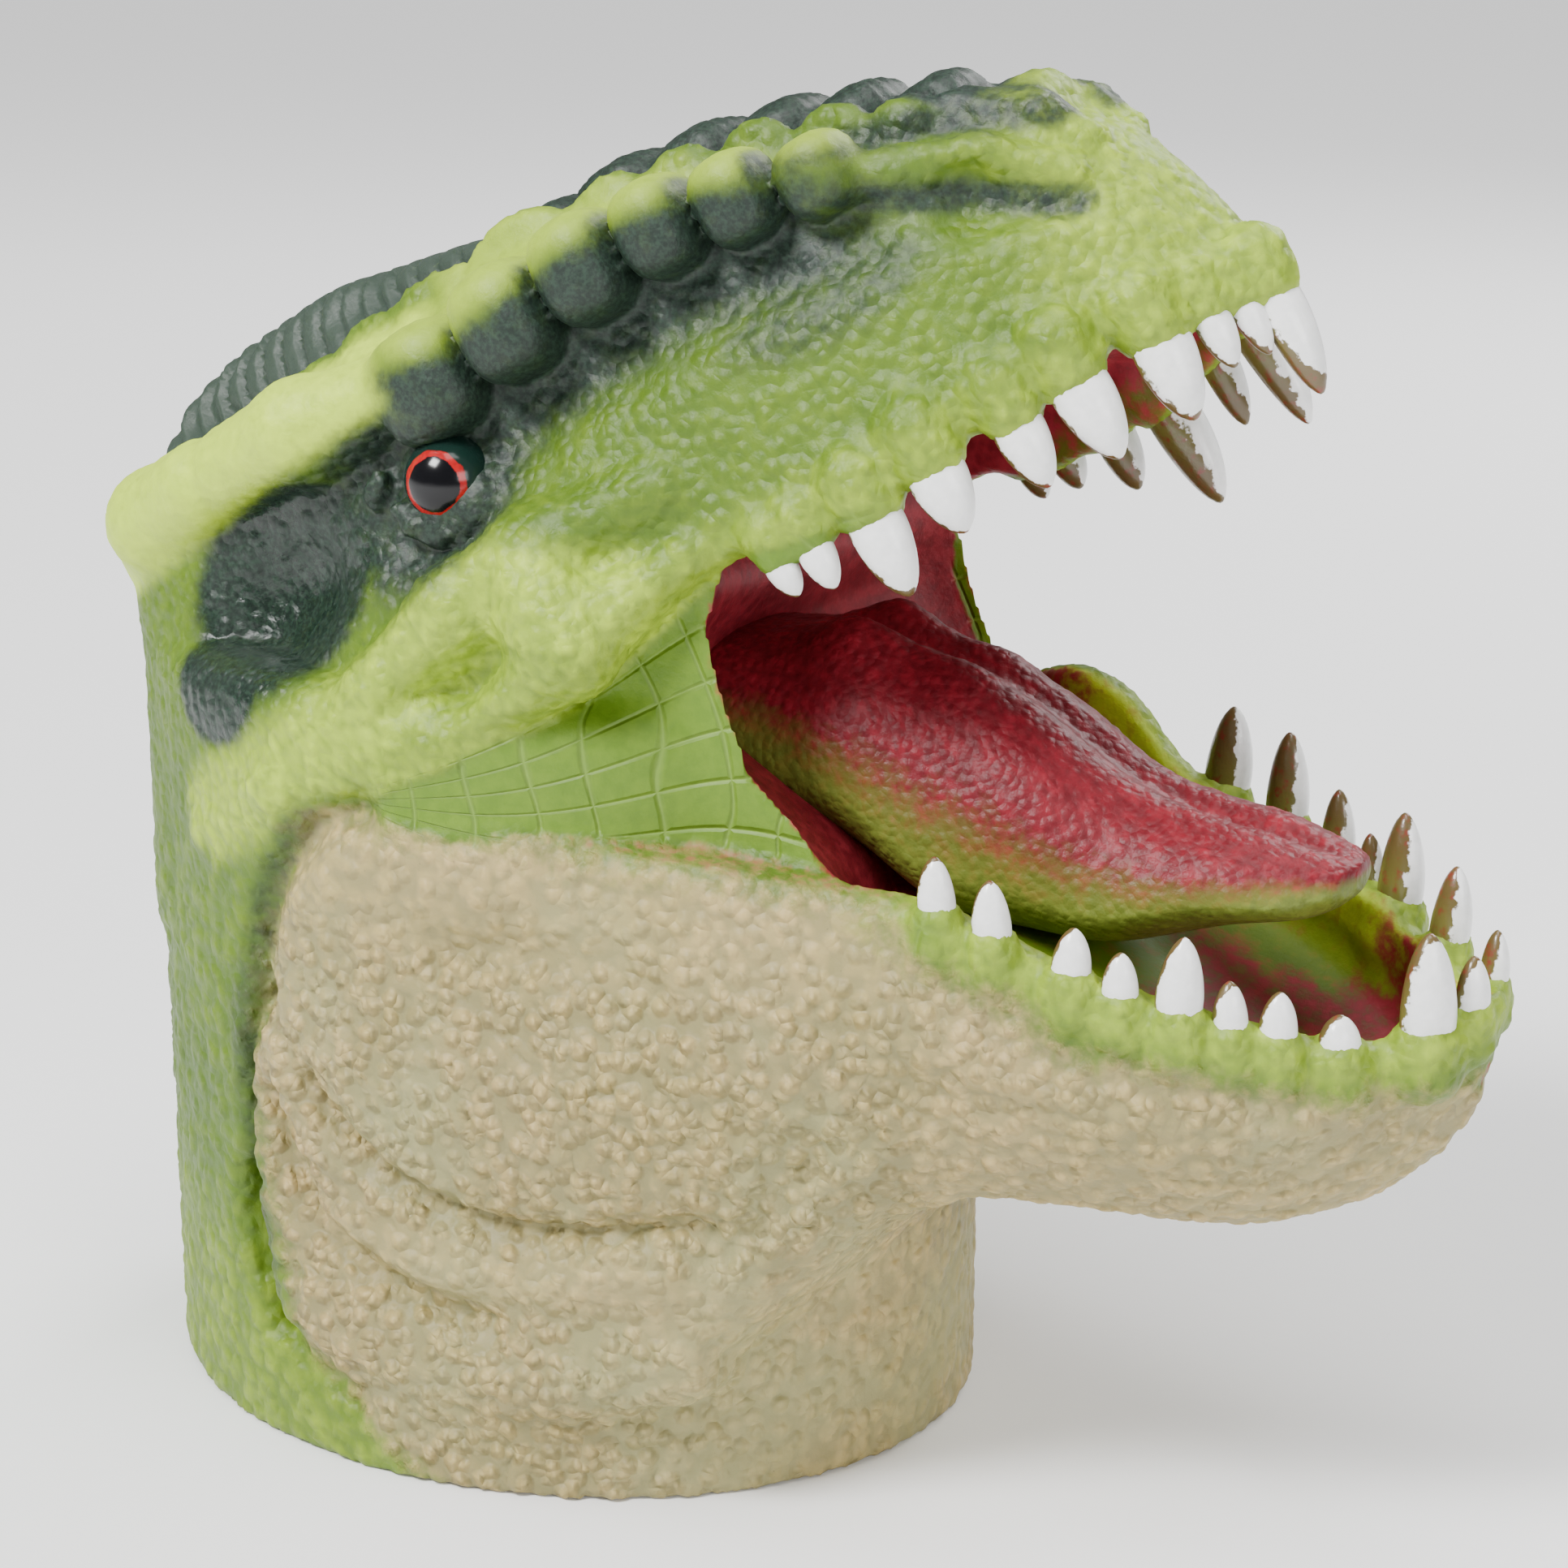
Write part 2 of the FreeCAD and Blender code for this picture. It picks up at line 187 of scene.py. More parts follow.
# ---- profiles of the head
CROWN = curve([
    (-60, 46), (-34, 46), (-15, 47), (5, 46.5), (25, 45.6), (44, 44.6), (53, 43.2), (63, 40.8),
    (73, 37.6), (82, 34.4), (90, 30.8), (96, 26.3), (100, 20.5), (103.5, 13), (105.7, 6.5), (106.6, 3.2),
    (107.5, -1), (125, -40)])
LIP_HALF = curve([
    (-60, 40), (-34, 33), (-15, 37), (5, 39.5), (25, 36), (40, 32.5), (50, 30.5), (60, 28.3), (70, 25.2),
    (78, 22.2), (86, 18.2), (94, 13.3), (100, 8.6), (104, 4.4), (106.4, 1.5), (107.5, -1), (125, -20)])
CHEEK_HALF = curve([
    (-60, 40), (-34, 33), (-15, 36), (5, 38.2), (25, 36), (40, 32.5), (50, 30.2), (60, 28.2), (70, 25.6),
    (78, 22.8), (86, 19), (94, 14.4), (100, 9.8), (104, 5.4), (106.4, 2), (107.8, -1), (125, -20)])
TEMPLE_HALF = curve([
    (-60, 34), (-34, 30), (-15, 32.5), (5, 32.5), (25, 30.5), (40, 29), (50, 27.6), (60, 26), (70, 23.6),
    (78, 21), (86, 17.6), (94, 13.6), (100, 9.6), (104, 5), (106.4, 1.5), (107.5, -1), (125, -20)])
BROW_HALF = curve([
    (-60, 26), (-34, 25), (-15, 25), (5, 25), (25, 25), (40, 23.6), (50, 22.2), (60, 20.2), (70, 17.8),
    (78, 15.4), (86, 12.6), (94, 9.4), (100, 6.4), (104, 3), (106.4, 0.5), (107.5, -1), (125, -20)])
LIP_RISE = curve([
    (-60, -2), (-20, -2), (0, -2), (14, -1.8), (25, -1.8), (35, 0), (43, 2), (50, 2.6), (58, 0.6),
    (66, 0.6), (74, 1.9), (82, 2.6), (90, 3.6), (98, 3.2), (104, 2.4), (108, 2)])
FAR_DROOP = curve([(0, 0), (45, 0), (62, 2.2), (78, 4.2), (92, 4.2), (101, 2), (106, 0.3), (108, 0)])

JAW_LIP = curve([
    (-60, 80), (-10, 79), (0, 79.2), (12, 78.6), (25, 77.6), (40, 76.4), (55, 75), (63, 74.3), (72, 71.2),
    (80, 67.8), (88, 65.4), (96, 63.2), (103, 61.4), (108, 61.4), (112, 62.6), (116, 65.2), (120, 66)])
JAW_RAISE = curve([
    (0, 0), (38, 0), (46, 7.5), (54, 11), (60, 9.5), (67, 4.4), (75, 3.6), (84, 4.6), (94, 4.8),
    (104, 3.2), (112, 0.8), (118, 0)])
JAW_BOTTOM = curve([
    (-60, 12), (-16, 13), (5, 11), (25, 11), (40, 15), (48, 24), (55, 32), (63, 35.6), (75, 36.6),
    (85, 36.3), (93, 36.6), (100, 38.8), (107, 43), (111.5, 47.6), (115, 53), (117, 60), (118, 68),
    (125, 90)])
JAW_LIP_HALF = curve([
    (-60, 40), (-15, 41.2), (-8, 42), (9, 41.6), (25, 39.2), (40, 35.6), (55, 31.6), (65, 29.9),
    (75, 27.8), (85, 24.8), (93, 21.4), (100, 17.5), (107, 12.6), (112, 8), (115.3, 3.8), (117, -0.5),
    (125, -20)])
JAW_SIDE_HALF = curve([
    (-60, 41), (-15, 41.6), (-8, 42.2), (9, 42.3), (25, 41), (40, 38.6), (55, 34.8), (65, 32), (75, 29.4),
    (85, 26.2), (93, 22.8), (100, 18.8), (107, 13.8), (112, 9), (115.5, 4.4), (117.2, -0.5), (125, -20)])
JAW_UNDER_HALF = curve([
    (-60, 40), (-15, 41.6), (-8, 42.2), (9, 42.2), (25, 40.4), (40, 36.8), (55, 30.5), (65, 26.5),
    (75, 23.6), (85, 20.6), (93, 17.8), (100, 14.2), (107, 9.8), (112, 5.5), (115, 1.5), (116, -0.5),
    (125, -20)])
FLAP_EDGE = curve([
    (-10, -8), (8, -8), (16, -12), (30, -17), (52, -18.5), (62, -15.5), (70, -10.5), (76, -5), (80, -1),
    (95, 8)])
WEB_HALF = curve([(0, 39.5), (10, 37), (25, 33), (38, 29.9), (50, 28.4), (60, 27.6), (200, 20)])
WEB_EDGE = curve([
    (-180, 90), (-25, 70), (-8, 60), (0.7, 51.5), (9, 45), (18, 42.6), (27, 44), (35, 50.5), (45, 52),
    (60, 52), (180, 52)])

BROW_SCUTES = (
    (25.4, 27.4, 36, 6.2, 7, 6.6), (37.4, 26.8, 37, 5.4, 6.6, 6.4),
    (47.9, 25.2, 37.6, 4.8, 6.2, 6), (57.2, 23.2, 37.2, 4.2, 5.8, 5.4),
    (65.8, 21.2, 35.6, 4.1, 5.2, 5), (74.2, 18.8, 33.4, 4.1, 4.6, 4.4))
CROWN_SCUTES = (
    (1, 17.5, 47, 6.5, 4, 3.2), (11, 17, 47, 6.5, 4.2, 3.4), (21, 16, 46.6, 7, 4.6, 3.6),
    (33, 14.5, 45.6, 8.2, 6, 4.4), (45.5, 13.4, 44, 6.2, 4.6, 4), (55, 12.4, 42.4, 5.4, 4.4, 3.8),
    (64, 11.2, 40.4, 5.2, 4, 3.8), (72.5, 10, 37.8, 4.8, 3.8, 3.6), (80, 8.6, 34.6, 4.4, 3.4, 3.4))
SPINE_SCUTES = (
    (31.5, 0, 45.6, 6, 8.6, 5.6), (42.5, 0, 45.2, 6, 8.4, 5.6), (53, 0, 43.2, 5.8, 7.8, 5.8),
    (62.8, 0, 40.8, 5.6, 7.2, 5.6), (72, 0, 37.8, 5.2, 6.6, 5.4), (80.6, 0, 34.8, 5.2, 5.2, 4.6),
    (89, 0, 30.2, 5.4, 4.6, 4))
CREST_TOP = curve([
    (-60, 20), (-36, 38), (-32, 49), (-28, 54), (-20, 57), (-8, 57.6), (2, 57), (10, 55), (18, 53),
    (26, 50.6), (34, 45), (60, 20)])


# Grooves and swellings of the neck and jaw as seen from the side: points (x, z), width, depth inward
GROOVES = (
    (((1, 79), (-5, 76), (-11.6, 68), (-14.4, 59), (-14, 54)), 2.4, 3.6),
    (((-14, 54), (-16.5, 49), (-17.6, 43), (-17.6, 32)), 1.3, 2.6),
    (((-18.4, 31), (-18.6, 26), (-16.6, 19), (-14, 14)), 1.8, 4.4),
    (((-14, 14), (-9, 10.5), (-2, 8.5)), 2.2, 2),
    (((-6, 46), (-3.2, 42.5), (2, 38), (8.4, 35), (15, 33.4), (23, 33.2), (41, 36.4)), 1.5, 3),
    (((-12.5, 42), (-11, 37), (-8.6, 31.6), (-2.9, 27.4), (3.8, 23.8), (10.6, 21.6), (16, 21.2)), 2.1, 2.8),
    (((12, 64), (22, 65.6), (30, 64.6), (36, 61)), 3, 1.5),
    (((57, 60), (66, 53.5)), 4, 1.6),
    (((52, 46), (48, 38), (42, 33)), 2.6, 2),
    (((-4, 30), (8, 27), (22, 27), (36, 30)), 3, -1.6),
    (((-12, 48), (-9.6, 42), (-4, 36.6)), 1.8, -1.4),
    (((0, 50), (12, 46), (24, 46)), 9, -2),
    (((-6, 68), (4, 72), (16, 72.5)), 6, -1.6),
    (((-8, 18), (6, 14), (24, 13)), 4.5, -1.8),
)


# ---- the sculpture
def head_block(x, y, z):
    u, v = head_frame(x, z)
    side = np.abs(y)
    crown = CROWN(u)
    share = v / np.maximum(crown, 4)
    halves = (LIP_HALF(u), CHEEK_HALF(u), TEMPLE_HALF(u), BROW_HALF(u))
    width = halves[0]
    for (low, high), half in zip(((0, 0.17), (0.17, 0.55), (0.55, 0.87)), halves[1:]):
        width = width + (half - width) * np.clip((share - low) / (high - low), 0, 1)
    top = v - (crown - 2.2 * (side / np.maximum(halves[3], 3))**2)
    field = meet(side - width, top, 7)
    lip = LIP_RISE(u) - FAR_DROOP(u) * far_side(y)
    field = meet(field, lip - v, 3)
    back = NECK_X + 1 + 3.2 * step(84, 104, z)
    rear = (np.sqrt((x / back)**2 + (y / (NECK_Y + 1))**2) - 1) * NECK_Y
    return meet(field, np.where(x < 0, rear, -20), 5)


def head_features(field, x, y, z):
    """Brows, crest, scutes and hollows, worked in the head's own frame."""
    u, v = head_frame(x, z)
    side = np.abs(y)
    here = (u, side, v)
    crest_width = 13.5 - 0.75 * np.clip(v - 44, -4, 16) * 0.8
    crest = meet(side - crest_width, v - CREST_TOP(u), 3)
    crest = meet(crest, 36 - v, 2)
    field = join(field, crest, 2)
    bar_rear = chain(here, ((-29, 17, 40.6), (-22, 23.5, 41.2), (-10.5, 27.4, 40.8)), (5.2, 6.2, 5.6))
    bar_front = chain(here, ((-4.5, 28, 40.2), (7, 29, 39.2), (19, 28.4, 37.2)), (5.4, 6, 5))
    field = join(field, join(bar_rear, bar_front, 1), 2.5)
    for scute in CROWN_SCUTES:
        field = join(field, ellipsoid(here, scute[:3], scute[3:]), 1.3)
    for scute in SPINE_SCUTES:
        field = join(field, plate((u, y, v), scute[:3], scute[3:]), 1)
    field = cut(field, ellipsoid(here, (22, 37.5, 26), (12, 8, 8.6)), 3.5)
    basin = join(ellipsoid(here, (-4.5, 39.5, 26), (14, 12.5, 9.4)),
                       ellipsoid(here, (-14.5, 40, 19.5), (8.5, 9.5, 7)), 4)
    field = cut(field, basin, 4.5)
    field = join(field, ellipsoid(here, (22.2, 28.6, 25.8), (7.6, 5.4, 6.6)), 2)
    brow_lid = chain(here, ((13.5, 31.2, 28.4), (19, 32.6, 32), (26, 32.2, 31.6), (31, 30.2, 28)),
                     (1.4, 1.9, 1.9, 1.3))
    field = join(field, brow_lid, 1.6)
    rim = [(EYE_CENTRE[0] + 5.3 * math.cos(a), 32 - 0.9 * math.cos(a), EYE_CENTRE[2] + 5.5 * math.sin(a))
           for a in np.linspace(0, 2 * math.pi, 13)]
    field = join(field, chain(here, rim, [1.25] * len(rim), 0.6), 0.8)
    trough = chain(here, ((20, 33.5, 30), (34, 31.5, 27.5), (48, 29.6, 28.5), (62, 26.6, 28),
                          (76, 22.2, 25.5)), (3, 4.2, 4.4, 3.8, 2.2))
    field = cut(field, trough, 5)
    valley = chain(here, ((-24, 17.5, 50.5), (0, 19.2, 50), (22, 19.2, 49), (44, 17.6, 47.2),
                          (60, 15.6, 43.6), (74, 13, 39)), (2.6, 3.2, 3.2, 3, 2.6, 1.6))
    field = cut(field, valley, 3)
    for scute in BROW_SCUTES:
        field = join(field, plate(here, scute[:3], scute[3:]), 0.8)
    blade = chain(here, ((80, 16, 30), (88, 12.8, 26.5), (95, 9.6, 21.5)), (2.8, 2.6, 1.6))
    field = join(field, blade, 3)
    lobe = chain(here, ((86, 6.5, 33), (93, 6.2, 28), (97, 5.4, 24)), (2.8, 2.6, 1.4))
    field = join(field, lobe, 2.5)
    jugal = chain(here, ((46, 29.5, 13), (30, 33.4, 14), (20, 36.4, 12.4), (8, 38.2, 8.4),
                         (-10, 38.6, 5.4), (-26, 35, 5.5)), (2.6, 4.2, 4.6, 4.4, 4.2, 3))
    field = join(field, jugal, 3)
    flap = chain(here, ((46, 31, 5.2), (38, 33.4, 4.2), (31.5, 36.2, 2.4), (24, 38, 1.2),
                        (12, 39.4, 0.8), (-6, 40.4, 0.8)), (1.8, 3, 4.2, 3, 2.6, 1.6))
    field = join(field, flap, 2)
    field = join(field, ellipsoid(here, (30.5, 36.6, 6), (5.6, 4.8, 7.6)), 3)
    field = cut(field, ellipsoid(here, (16.5, 43.4, 4.6), (8.4, 5.6, 2.9)), 2)
    nostril = chain(here, ((79, 21.5, 28.5), (87, 17.6, 23.6), (94.5, 12.8, 18.4)), (1.4, 4.2, 1.6))
    return cut(field, nostril, 1.6)


def jaw_block(x, y, z):
    side = np.abs(y)
    lip = JAW_LIP(x) + JAW_RAISE(x) * far_side(y)
    bottom = JAW_BOTTOM(x)
    share = (z - bottom) / np.maximum(lip - bottom, 4)
    width = JAW_UNDER_HALF(x) + (JAW_SIDE_HALF(x) - JAW_UNDER_HALF(x)) * np.clip((share - 0.15) / 0.45, 0, 1)
    width = width + (JAW_LIP_HALF(x) - width) * np.clip((share - 0.6) / 0.4, 0, 1)
    under = bottom + 5 * (side / np.maximum(JAW_UNDER_HALF(x), 3))**2 - z
    field = meet(side - width, np.where(x > 40, under, bottom - z), 7)
    field = meet(field, z - lip, 2.6)
    return meet(field, FLAP_EDGE(z) - x, 2.5)


def polar(x, z):
    up = z - HINGE_Z
    return np.hypot(x, up), np.degrees(np.arctan2(up, x))


def throat_reach(x, y, z):
    """How far from the hinge the back wall of the mouth stands: hollow between the webs."""
    _, angle = polar(x, z)
    hollow = np.sqrt(np.clip(1 - (y / 29)**2, 0, 1))
    return WEB_EDGE(angle) - 15 * hollow


def web_block(x, y, z):
    radius, angle = polar(x, z)
    field = meet(np.abs(y) - WEB_HALF(radius), radius - throat_reach(x, y, z), 1.6)
    return np.maximum(field, (np.abs(angle - 14) - 30) * 0.5)


def mouth_hollow(x, y, z):
    """The space inside the mouth, negative inside it."""
    u, v = head_frame(x, z)
    radius, _ = polar(x, z)
    side = np.abs(y)
    behind = np.maximum(throat_reach(x, y, z) - radius, 14 - x)
    upper_half = LIP_HALF(u) - 4.2
    roof = 8.5 + 5.5 * step(76, 60, u) - 4 * (side / np.maximum(upper_half, 3))**2
    upper = meet(side - upper_half, v - roof, 3)
    upper = np.maximum(np.maximum(upper, -v - 26), behind)
    lower_half = JAW_LIP_HALF(x) - 4.4
    floor = JAW_LIP(x) - 9 + 4.5 * (side / np.maximum(lower_half, 3))**2
    lower = meet(side - lower_half, floor - z, 3)
    lower = np.maximum(np.maximum(lower, z - JAW_LIP(x) - 14), behind)
    return np.minimum(upper, lower)


def neck_block(x, y, z):
    oval = (np.sqrt((x / NECK_X)**2 + (y / NECK_Y)**2) - 1) * NECK_Y
    return meet(oval, z - 92, 6)


def folds(field, x, y, z):
    """Swellings and grooves pressed into the sides of the neck and the rear of the jaw."""
    push = np.zeros(np.broadcast(x, z).shape, np.float32)
    for points, width, depth in GROOVES:
        push = push + 0.8 * depth * np.exp(-(line_distance(x, z, points) / width)**2)
    return field + push * step(14, 22, np.abs(y))


def body_field(x, y, z):
    head = head_features(head_block(x, y, z), x, y, z)
    jaw = jaw_block(x, y, z)
    field = join(neck_block(x, y, z), jaw, 1.6)
    field = join(field, web_block(x, y, z), 1.6)
    field = join(field, head, 1)
    field = cut(field, mouth_hollow(x, y, z), 1.4)
    return gum_mounds(folds(field, x, y, z), x, y, z)


def axes():
    counts = np.ceil((GRID_HIGH - GRID_LOW) / VOXEL).astype(int) + 1
    lines = [(low + VOXEL * np.arange(n)).astype(np.float32) for low, n in zip(GRID_LOW, counts)]
    return np.meshgrid(*lines, indexing="ij", sparse=True)


def polygons(field):
    grid = openvdb.FloatGrid(VOXEL * 3.0)
    grid.copyFromArray(np.ascontiguousarray(field, dtype=np.float32))
    points, triangles, quads = grid.convertToPolygons(isovalue=0.0, adaptivity=0.0)
    return points * VOXEL + GRID_LOW, triangles, quads


def distance_inside(field):
    """True distance from the surface, on the same grid, worked out at half its fineness."""
    points, triangles, quads = polygons(field)
    coarse = VOXEL * 2.0
    transform = openvdb.createLinearTransform(voxelSize=coarse)
    level = openvdb.FloatGrid.createLevelSetFromPolygons(
        (points - GRID_LOW).astype(np.float32), triangles=triangles.astype(np.uint32),
        quads=quads.astype(np.uint32), transform=transform, halfWidth=6.0 / coarse)
    shape = [(n + 1) // 2 + 1 for n in field.shape]
    values = np.zeros(shape, np.float32)
    level.copyToArray(values, ijk=(0, 0, 0))
    for axis in range(3):
        values = np.moveaxis(values, axis, 0)
        finer = np.empty((2 * len(values) - 1, *values.shape[1:]), np.float32)
        finer[::2] = values
        finer[1::2] = 0.5 * (values[:-1] + values[1:])
        values = np.moveaxis(finer, 0, axis)
    return values[:field.shape[0], :field.shape[1], :field.shape[2]]


def sample(field, points):
    """Values of a grid at free points, by trilinear interpolation."""
    place = (points - GRID_LOW) / VOXEL
    base = np.clip(np.floor(place).astype(int), 0, np.array(field.shape) - 2)
    t = (place - base).astype(np.float32)
    out = np.zeros(len(points), np.float32)
    for i, j, k in np.ndindex(2, 2, 2):
        weight = np.abs(1 - i - t[:, 0]) * np.abs(1 - j - t[:, 1]) * np.abs(1 - k - t[:, 2])
        out += weight * field[base[:, 0] + i, base[:, 1] + j, base[:, 2] + k]
    return out


def gradient_at(field, points):
    out = np.zeros((len(points), 3), np.float32)
    for axis in range(3):
        shift = np.zeros(3)
        shift[axis] = VOXEL * 0.8
        out[:, axis] = sample(field, points + shift) - sample(field, points - shift)
    return out / np.maximum(np.linalg.norm(out, axis=1, keepdims=True), 1e-9)


def pebbles(points, cell, seed):
    """Distances to the nearest and second nearest of scattered pebble centres, in cells."""
    place = points / cell
    base = np.floor(place).astype(np.int64)
    near = np.full(len(points), 9.0, np.float32)
    second = near.copy()
    tint = np.zeros(len(points), np.float32)
    for offset in np.ndindex(3, 3, 3):
        corner = base + offset - 1
        key = np.bitwise_xor.reduce(corner * HASH, axis=1) ^ seed
        jitter = np.empty((len(points), 3), np.float32)
        for axis in range(3):
            key = (key * 1103515245 + 12345) & 0x7FFFFFFF
            jitter[:, axis] = (key >> 8) % 4096 / 4096.0
        away = np.linalg.norm(corner + 0.15 + 0.7 * jitter - place, axis=1).astype(np.float32)
        closer = away < near
        second = np.where(closer, near, np.minimum(second, away))
        tint = np.where(closer, jitter[:, 0], tint)
        near = np.where(closer, away, near)
    return near, second, tint


# ---- paint masks on the skin, painted highlights and painted shade among them
PANEL = [
    (-7, 76.4), (10, 77.2), (30, 75.8), (46, 74.4), (56, 73), (63, 69.6), (70, 65.2), (80, 60.6),
    (90, 57.8), (100, 56.2), (110, 55.4), (122, 55), (122, 20), (62, 20), (62, -8), (22, -8), (4, 3),
    (-8, 14), (-14.5, 34), (-16, 50), (-12.6, 64)]
BROW_LINE = curve([
    (-40, 44), (-6, 44), (18, 40), (27, 35.5), (38.5, 35.6), (48.5, 36.6), (57, 36.2), (66, 34.4),
    (75, 31.6), (86, 27.5), (100, 22), (110, 18)])


def wobble(x, y, z):
    return (np.sin(0.31 * x + 1.7 * np.sin(0.13 * z + 0.4))
            + np.sin(0.37 * z + 1.3 * np.sin(0.19 * x) + 0.11 * y)
            + 0.6 * np.sin(0.9 * x + 0.7 * z + 1.1 * np.sin(0.5 * y)))


def oval(a, b, centre, radii):
    return np.sqrt(((a - centre[0]) / radii[0])**2 + ((b - centre[1]) / radii[1])**2)


def paint(points, outside):
    """Where each colour of rubber and spray paint lies, and where highlights and shade are painted on, as
    shares from 0 to 1.
    """
    x, y, z = points.T.astype(np.float32)
    u, v = head_frame(x, z)
    side = np.abs(y)
    radius, angle = polar(x, z)
    wave = wobble(x, y, z)
    hollow = mouth_hollow(x, y, z)
    head = head_features(head_block(x, y, z), x, y, z)
    jaw = jaw_block(x, y, z)
    inner = step(1.7, 0.6, hollow) * outside
    outer = outside * (1 - inner)
    web = outer * step(0.6, 1.6, head) * step(0.6, 1.5, jaw) * step(70, 60, radius) * step(-14, -8, angle)
    web = web * step(62, 50, angle) * step(16, 22, side) * step(-4, 0, x) * step(0.8, -0.4, v - LIP_RISE(u))
    upper = step(-1.5, 1.5, z - (HINGE_Z + 0.21 * x))
    beige = step(5.6, -4.6, outline_distance(x, z, PANEL) + 0.5 * wave) * (1 - upper) * outer * (1 - web)

    floor = step(2.5, -1, z - JAW_LIP(x) - JAW_RAISE(x) * far_side(y))
    floor = floor * step(4, 9, radius - throat_reach(x, y, z))
    roof_rim = step(5, 0.5, v) * step(0, 3, v + 8) * (1 - floor)
    red = inner * (1 - 0.8 * floor) * (1 - 0.45 * roof_rim * step(52, 60, u))
    mouth_edge = 0.75 * step(1.4, 0.3, np.abs(hollow)) * outside * step(64, 50, radius) * (1 - upper)
    seam = step(1, 0.2, np.abs(z - JAW_LIP(x) - 0.2)) * step(18, 32, x) * step(64, 56, x)
    seam = seam * step(24, 27, side) * outside
    fold = inner * floor * step(70, 80, x) * step(19, 11, side) * step(-1, 1, wave + 1)
    red = np.maximum.reduce([red, mouth_edge, 0.3 * seam, 0.75 * fold])

    brow = BROW_LINE(u)
    crown = CROWN(u)
    # Dark green: the crest and the tops of the midline scutes are painted dark; shade is painted under the
    # brow scutes, in the hollows of the temple and eye socket and in the crease behind the jaw; a darker
    # patch lies before the eye and streaks run toward the nostril.
    crest = step(15.5, 13, side) * step(33, 28, u) * step(crown - 4.5, crown - 1.5, v) * outer
    spine = step(11.5, 8.5, side) * step(24, 29, u) * step(97, 86, u)
    spine = spine * step(crown - 7, crown - 3, v) * outer
    # painted shade under the row of brow scutes
    under = step(brow + 5.2, brow + 0.4, v) * step(brow - 17, brow - 6, v) * step(14, 26, u)
    under = under * step(90, 66, u) * step(8, 14, side) * outer
    # painted shade in the hollows of the temple and of the eye socket
    fossa = np.minimum(oval(u, v, (-3.5, 26), (14.5, 11.2)), oval(u, v, (-13, 20), (8, 7.5)))
    fossa = step(1.25, 0.82, fossa)
    socket = step(1.3, 0.62, oval(u, v, (19, 26.5), (15, 11.5)))
    streak = np.maximum.reduce([
        step(3.4, 0.6, line_distance(u, v, ((72, 36.6), (84, 33.5), (96, 28)))),
        step(3.2, 0.6, line_distance(u, v, ((76, 29.5), (86, 24), (95, 18)))),
        step(3, 0.5, line_distance(u, v, ((78, 40), (88, 34), (97, 28)))) * step(9, 6, side)])
    cheek = step(12, 20, side) * outer
    patch = 0.62 * step(1.5, 0.5, oval(u, v, (70, 22), (13, 5.5)))
    dark_paint_and_shade = np.maximum.reduce([crest, spine, 0.95 * under, patch * cheek, fossa * cheek,
                              0.88 * socket * cheek, 0.8 * streak * outer * step(2, 5, side)])
    # painted shade in the gaps between the brow scutes
    gap_shade = np.zeros_like(x)
    for joint in (31.8, 42.9, 52.8, 61.6, 70):
        gap = step(1.4, 0.2, np.abs(u - joint)) * step(brow + 11, brow + 7, v) * step(brow - 9, brow - 6, v)
        gap_shade = np.maximum(gap_shade, 0.75 * gap * step(13, 17, side) * outer)
    # painted shade along the crease behind the jaw
    crease = np.minimum(line_distance(x, z, ((-7, 78), (-14, 66), (-18.6, 52), (-18, 34), (-13, 18))), 9)
    dark_paint_and_shade = np.maximum(dark_paint_and_shade, 0.5 * step(3.6, 0.6, crease) * outer * (1 - upper) * step(30, 38, side))
    # Pale yellow-green: painted highlights on the brow bar, the upper half of the brow scutes, the jugal
    # ridge and the snout, and painted light on the far inner lip, which lies in shade; the lips and the
    # lower neck are paler green as well.
    bar = step(34, 37, v) * step(15.5, 18.5, side) * step(26, 19, u) * outer
    tops = step(brow + 1.6, brow + 6, v) * step(11.5, 14, side) * step(20, 26, u) * step(84, 78, u) * outer
    jugal = step(7.5, 3, line_distance(u, v, ((38, 4), (27, 12), (8, 7), (-22, 7)))) * cheek
    snout = step(84, 98, u) * upper * outer
    upper_lip = step(9, 3, v) * upper * outer
    lower_lip = step(7, 2, JAW_LIP(x) - z) * step(52, 64, x) * (1 - upper)
    far_lip = inner * step(0, 4, y) * step(-3, 1, z - JAW_LIP(x)) * (1 - upper)
    neck = step(34, 8, z) * outer
    pale_paint_and_highlight = np.maximum.reduce([bar, 0.5 * tops, 0.8 * jugal, 0.65 * snout, 0.5 * upper_lip, 0.32 * neck,
                                0.55 * lower_lip, far_lip]) * (1 - beige) * (1 - web)
    # The painted highlights lift the dark on the bar and the scute tops; the painted shade in the scute gaps
    # stays.
    dark_paint_and_shade = np.maximum(dark_paint_and_shade * (1 - 0.75 * bar) * (1 - 0.7 * tops), gap_shade)
    plates = step(19, 22, u) * step(82, 78, u) * step(brow - 6.5, brow - 5, v) * step(12, 15, side) * outer
    plates = np.maximum(plates, spine * step(crown - 3.5, crown - 1, v))
    lumps = fossa * cheek * (0.65 + 0.35 * np.clip(wave, -1, 1))
    weave = np.stack([radius / 6.2 + 0.06 * wave, (angle + 3 * np.sin(radius * 0.11)) / 7.6, 0 * x], 1)
    plain = np.maximum.reduce([plates, 0.8 * bar, 0.5 * lumps, crest])
    return {"beige": beige, "dark_paint_and_shade": dark_paint_and_shade, "pale_paint_and_highlight": pale_paint_and_highlight, "red": red, "web": web, "lumps": lumps,
            "crest": crest, "outer": outer, "weave": weave, "spine": spine, "plain": plain}


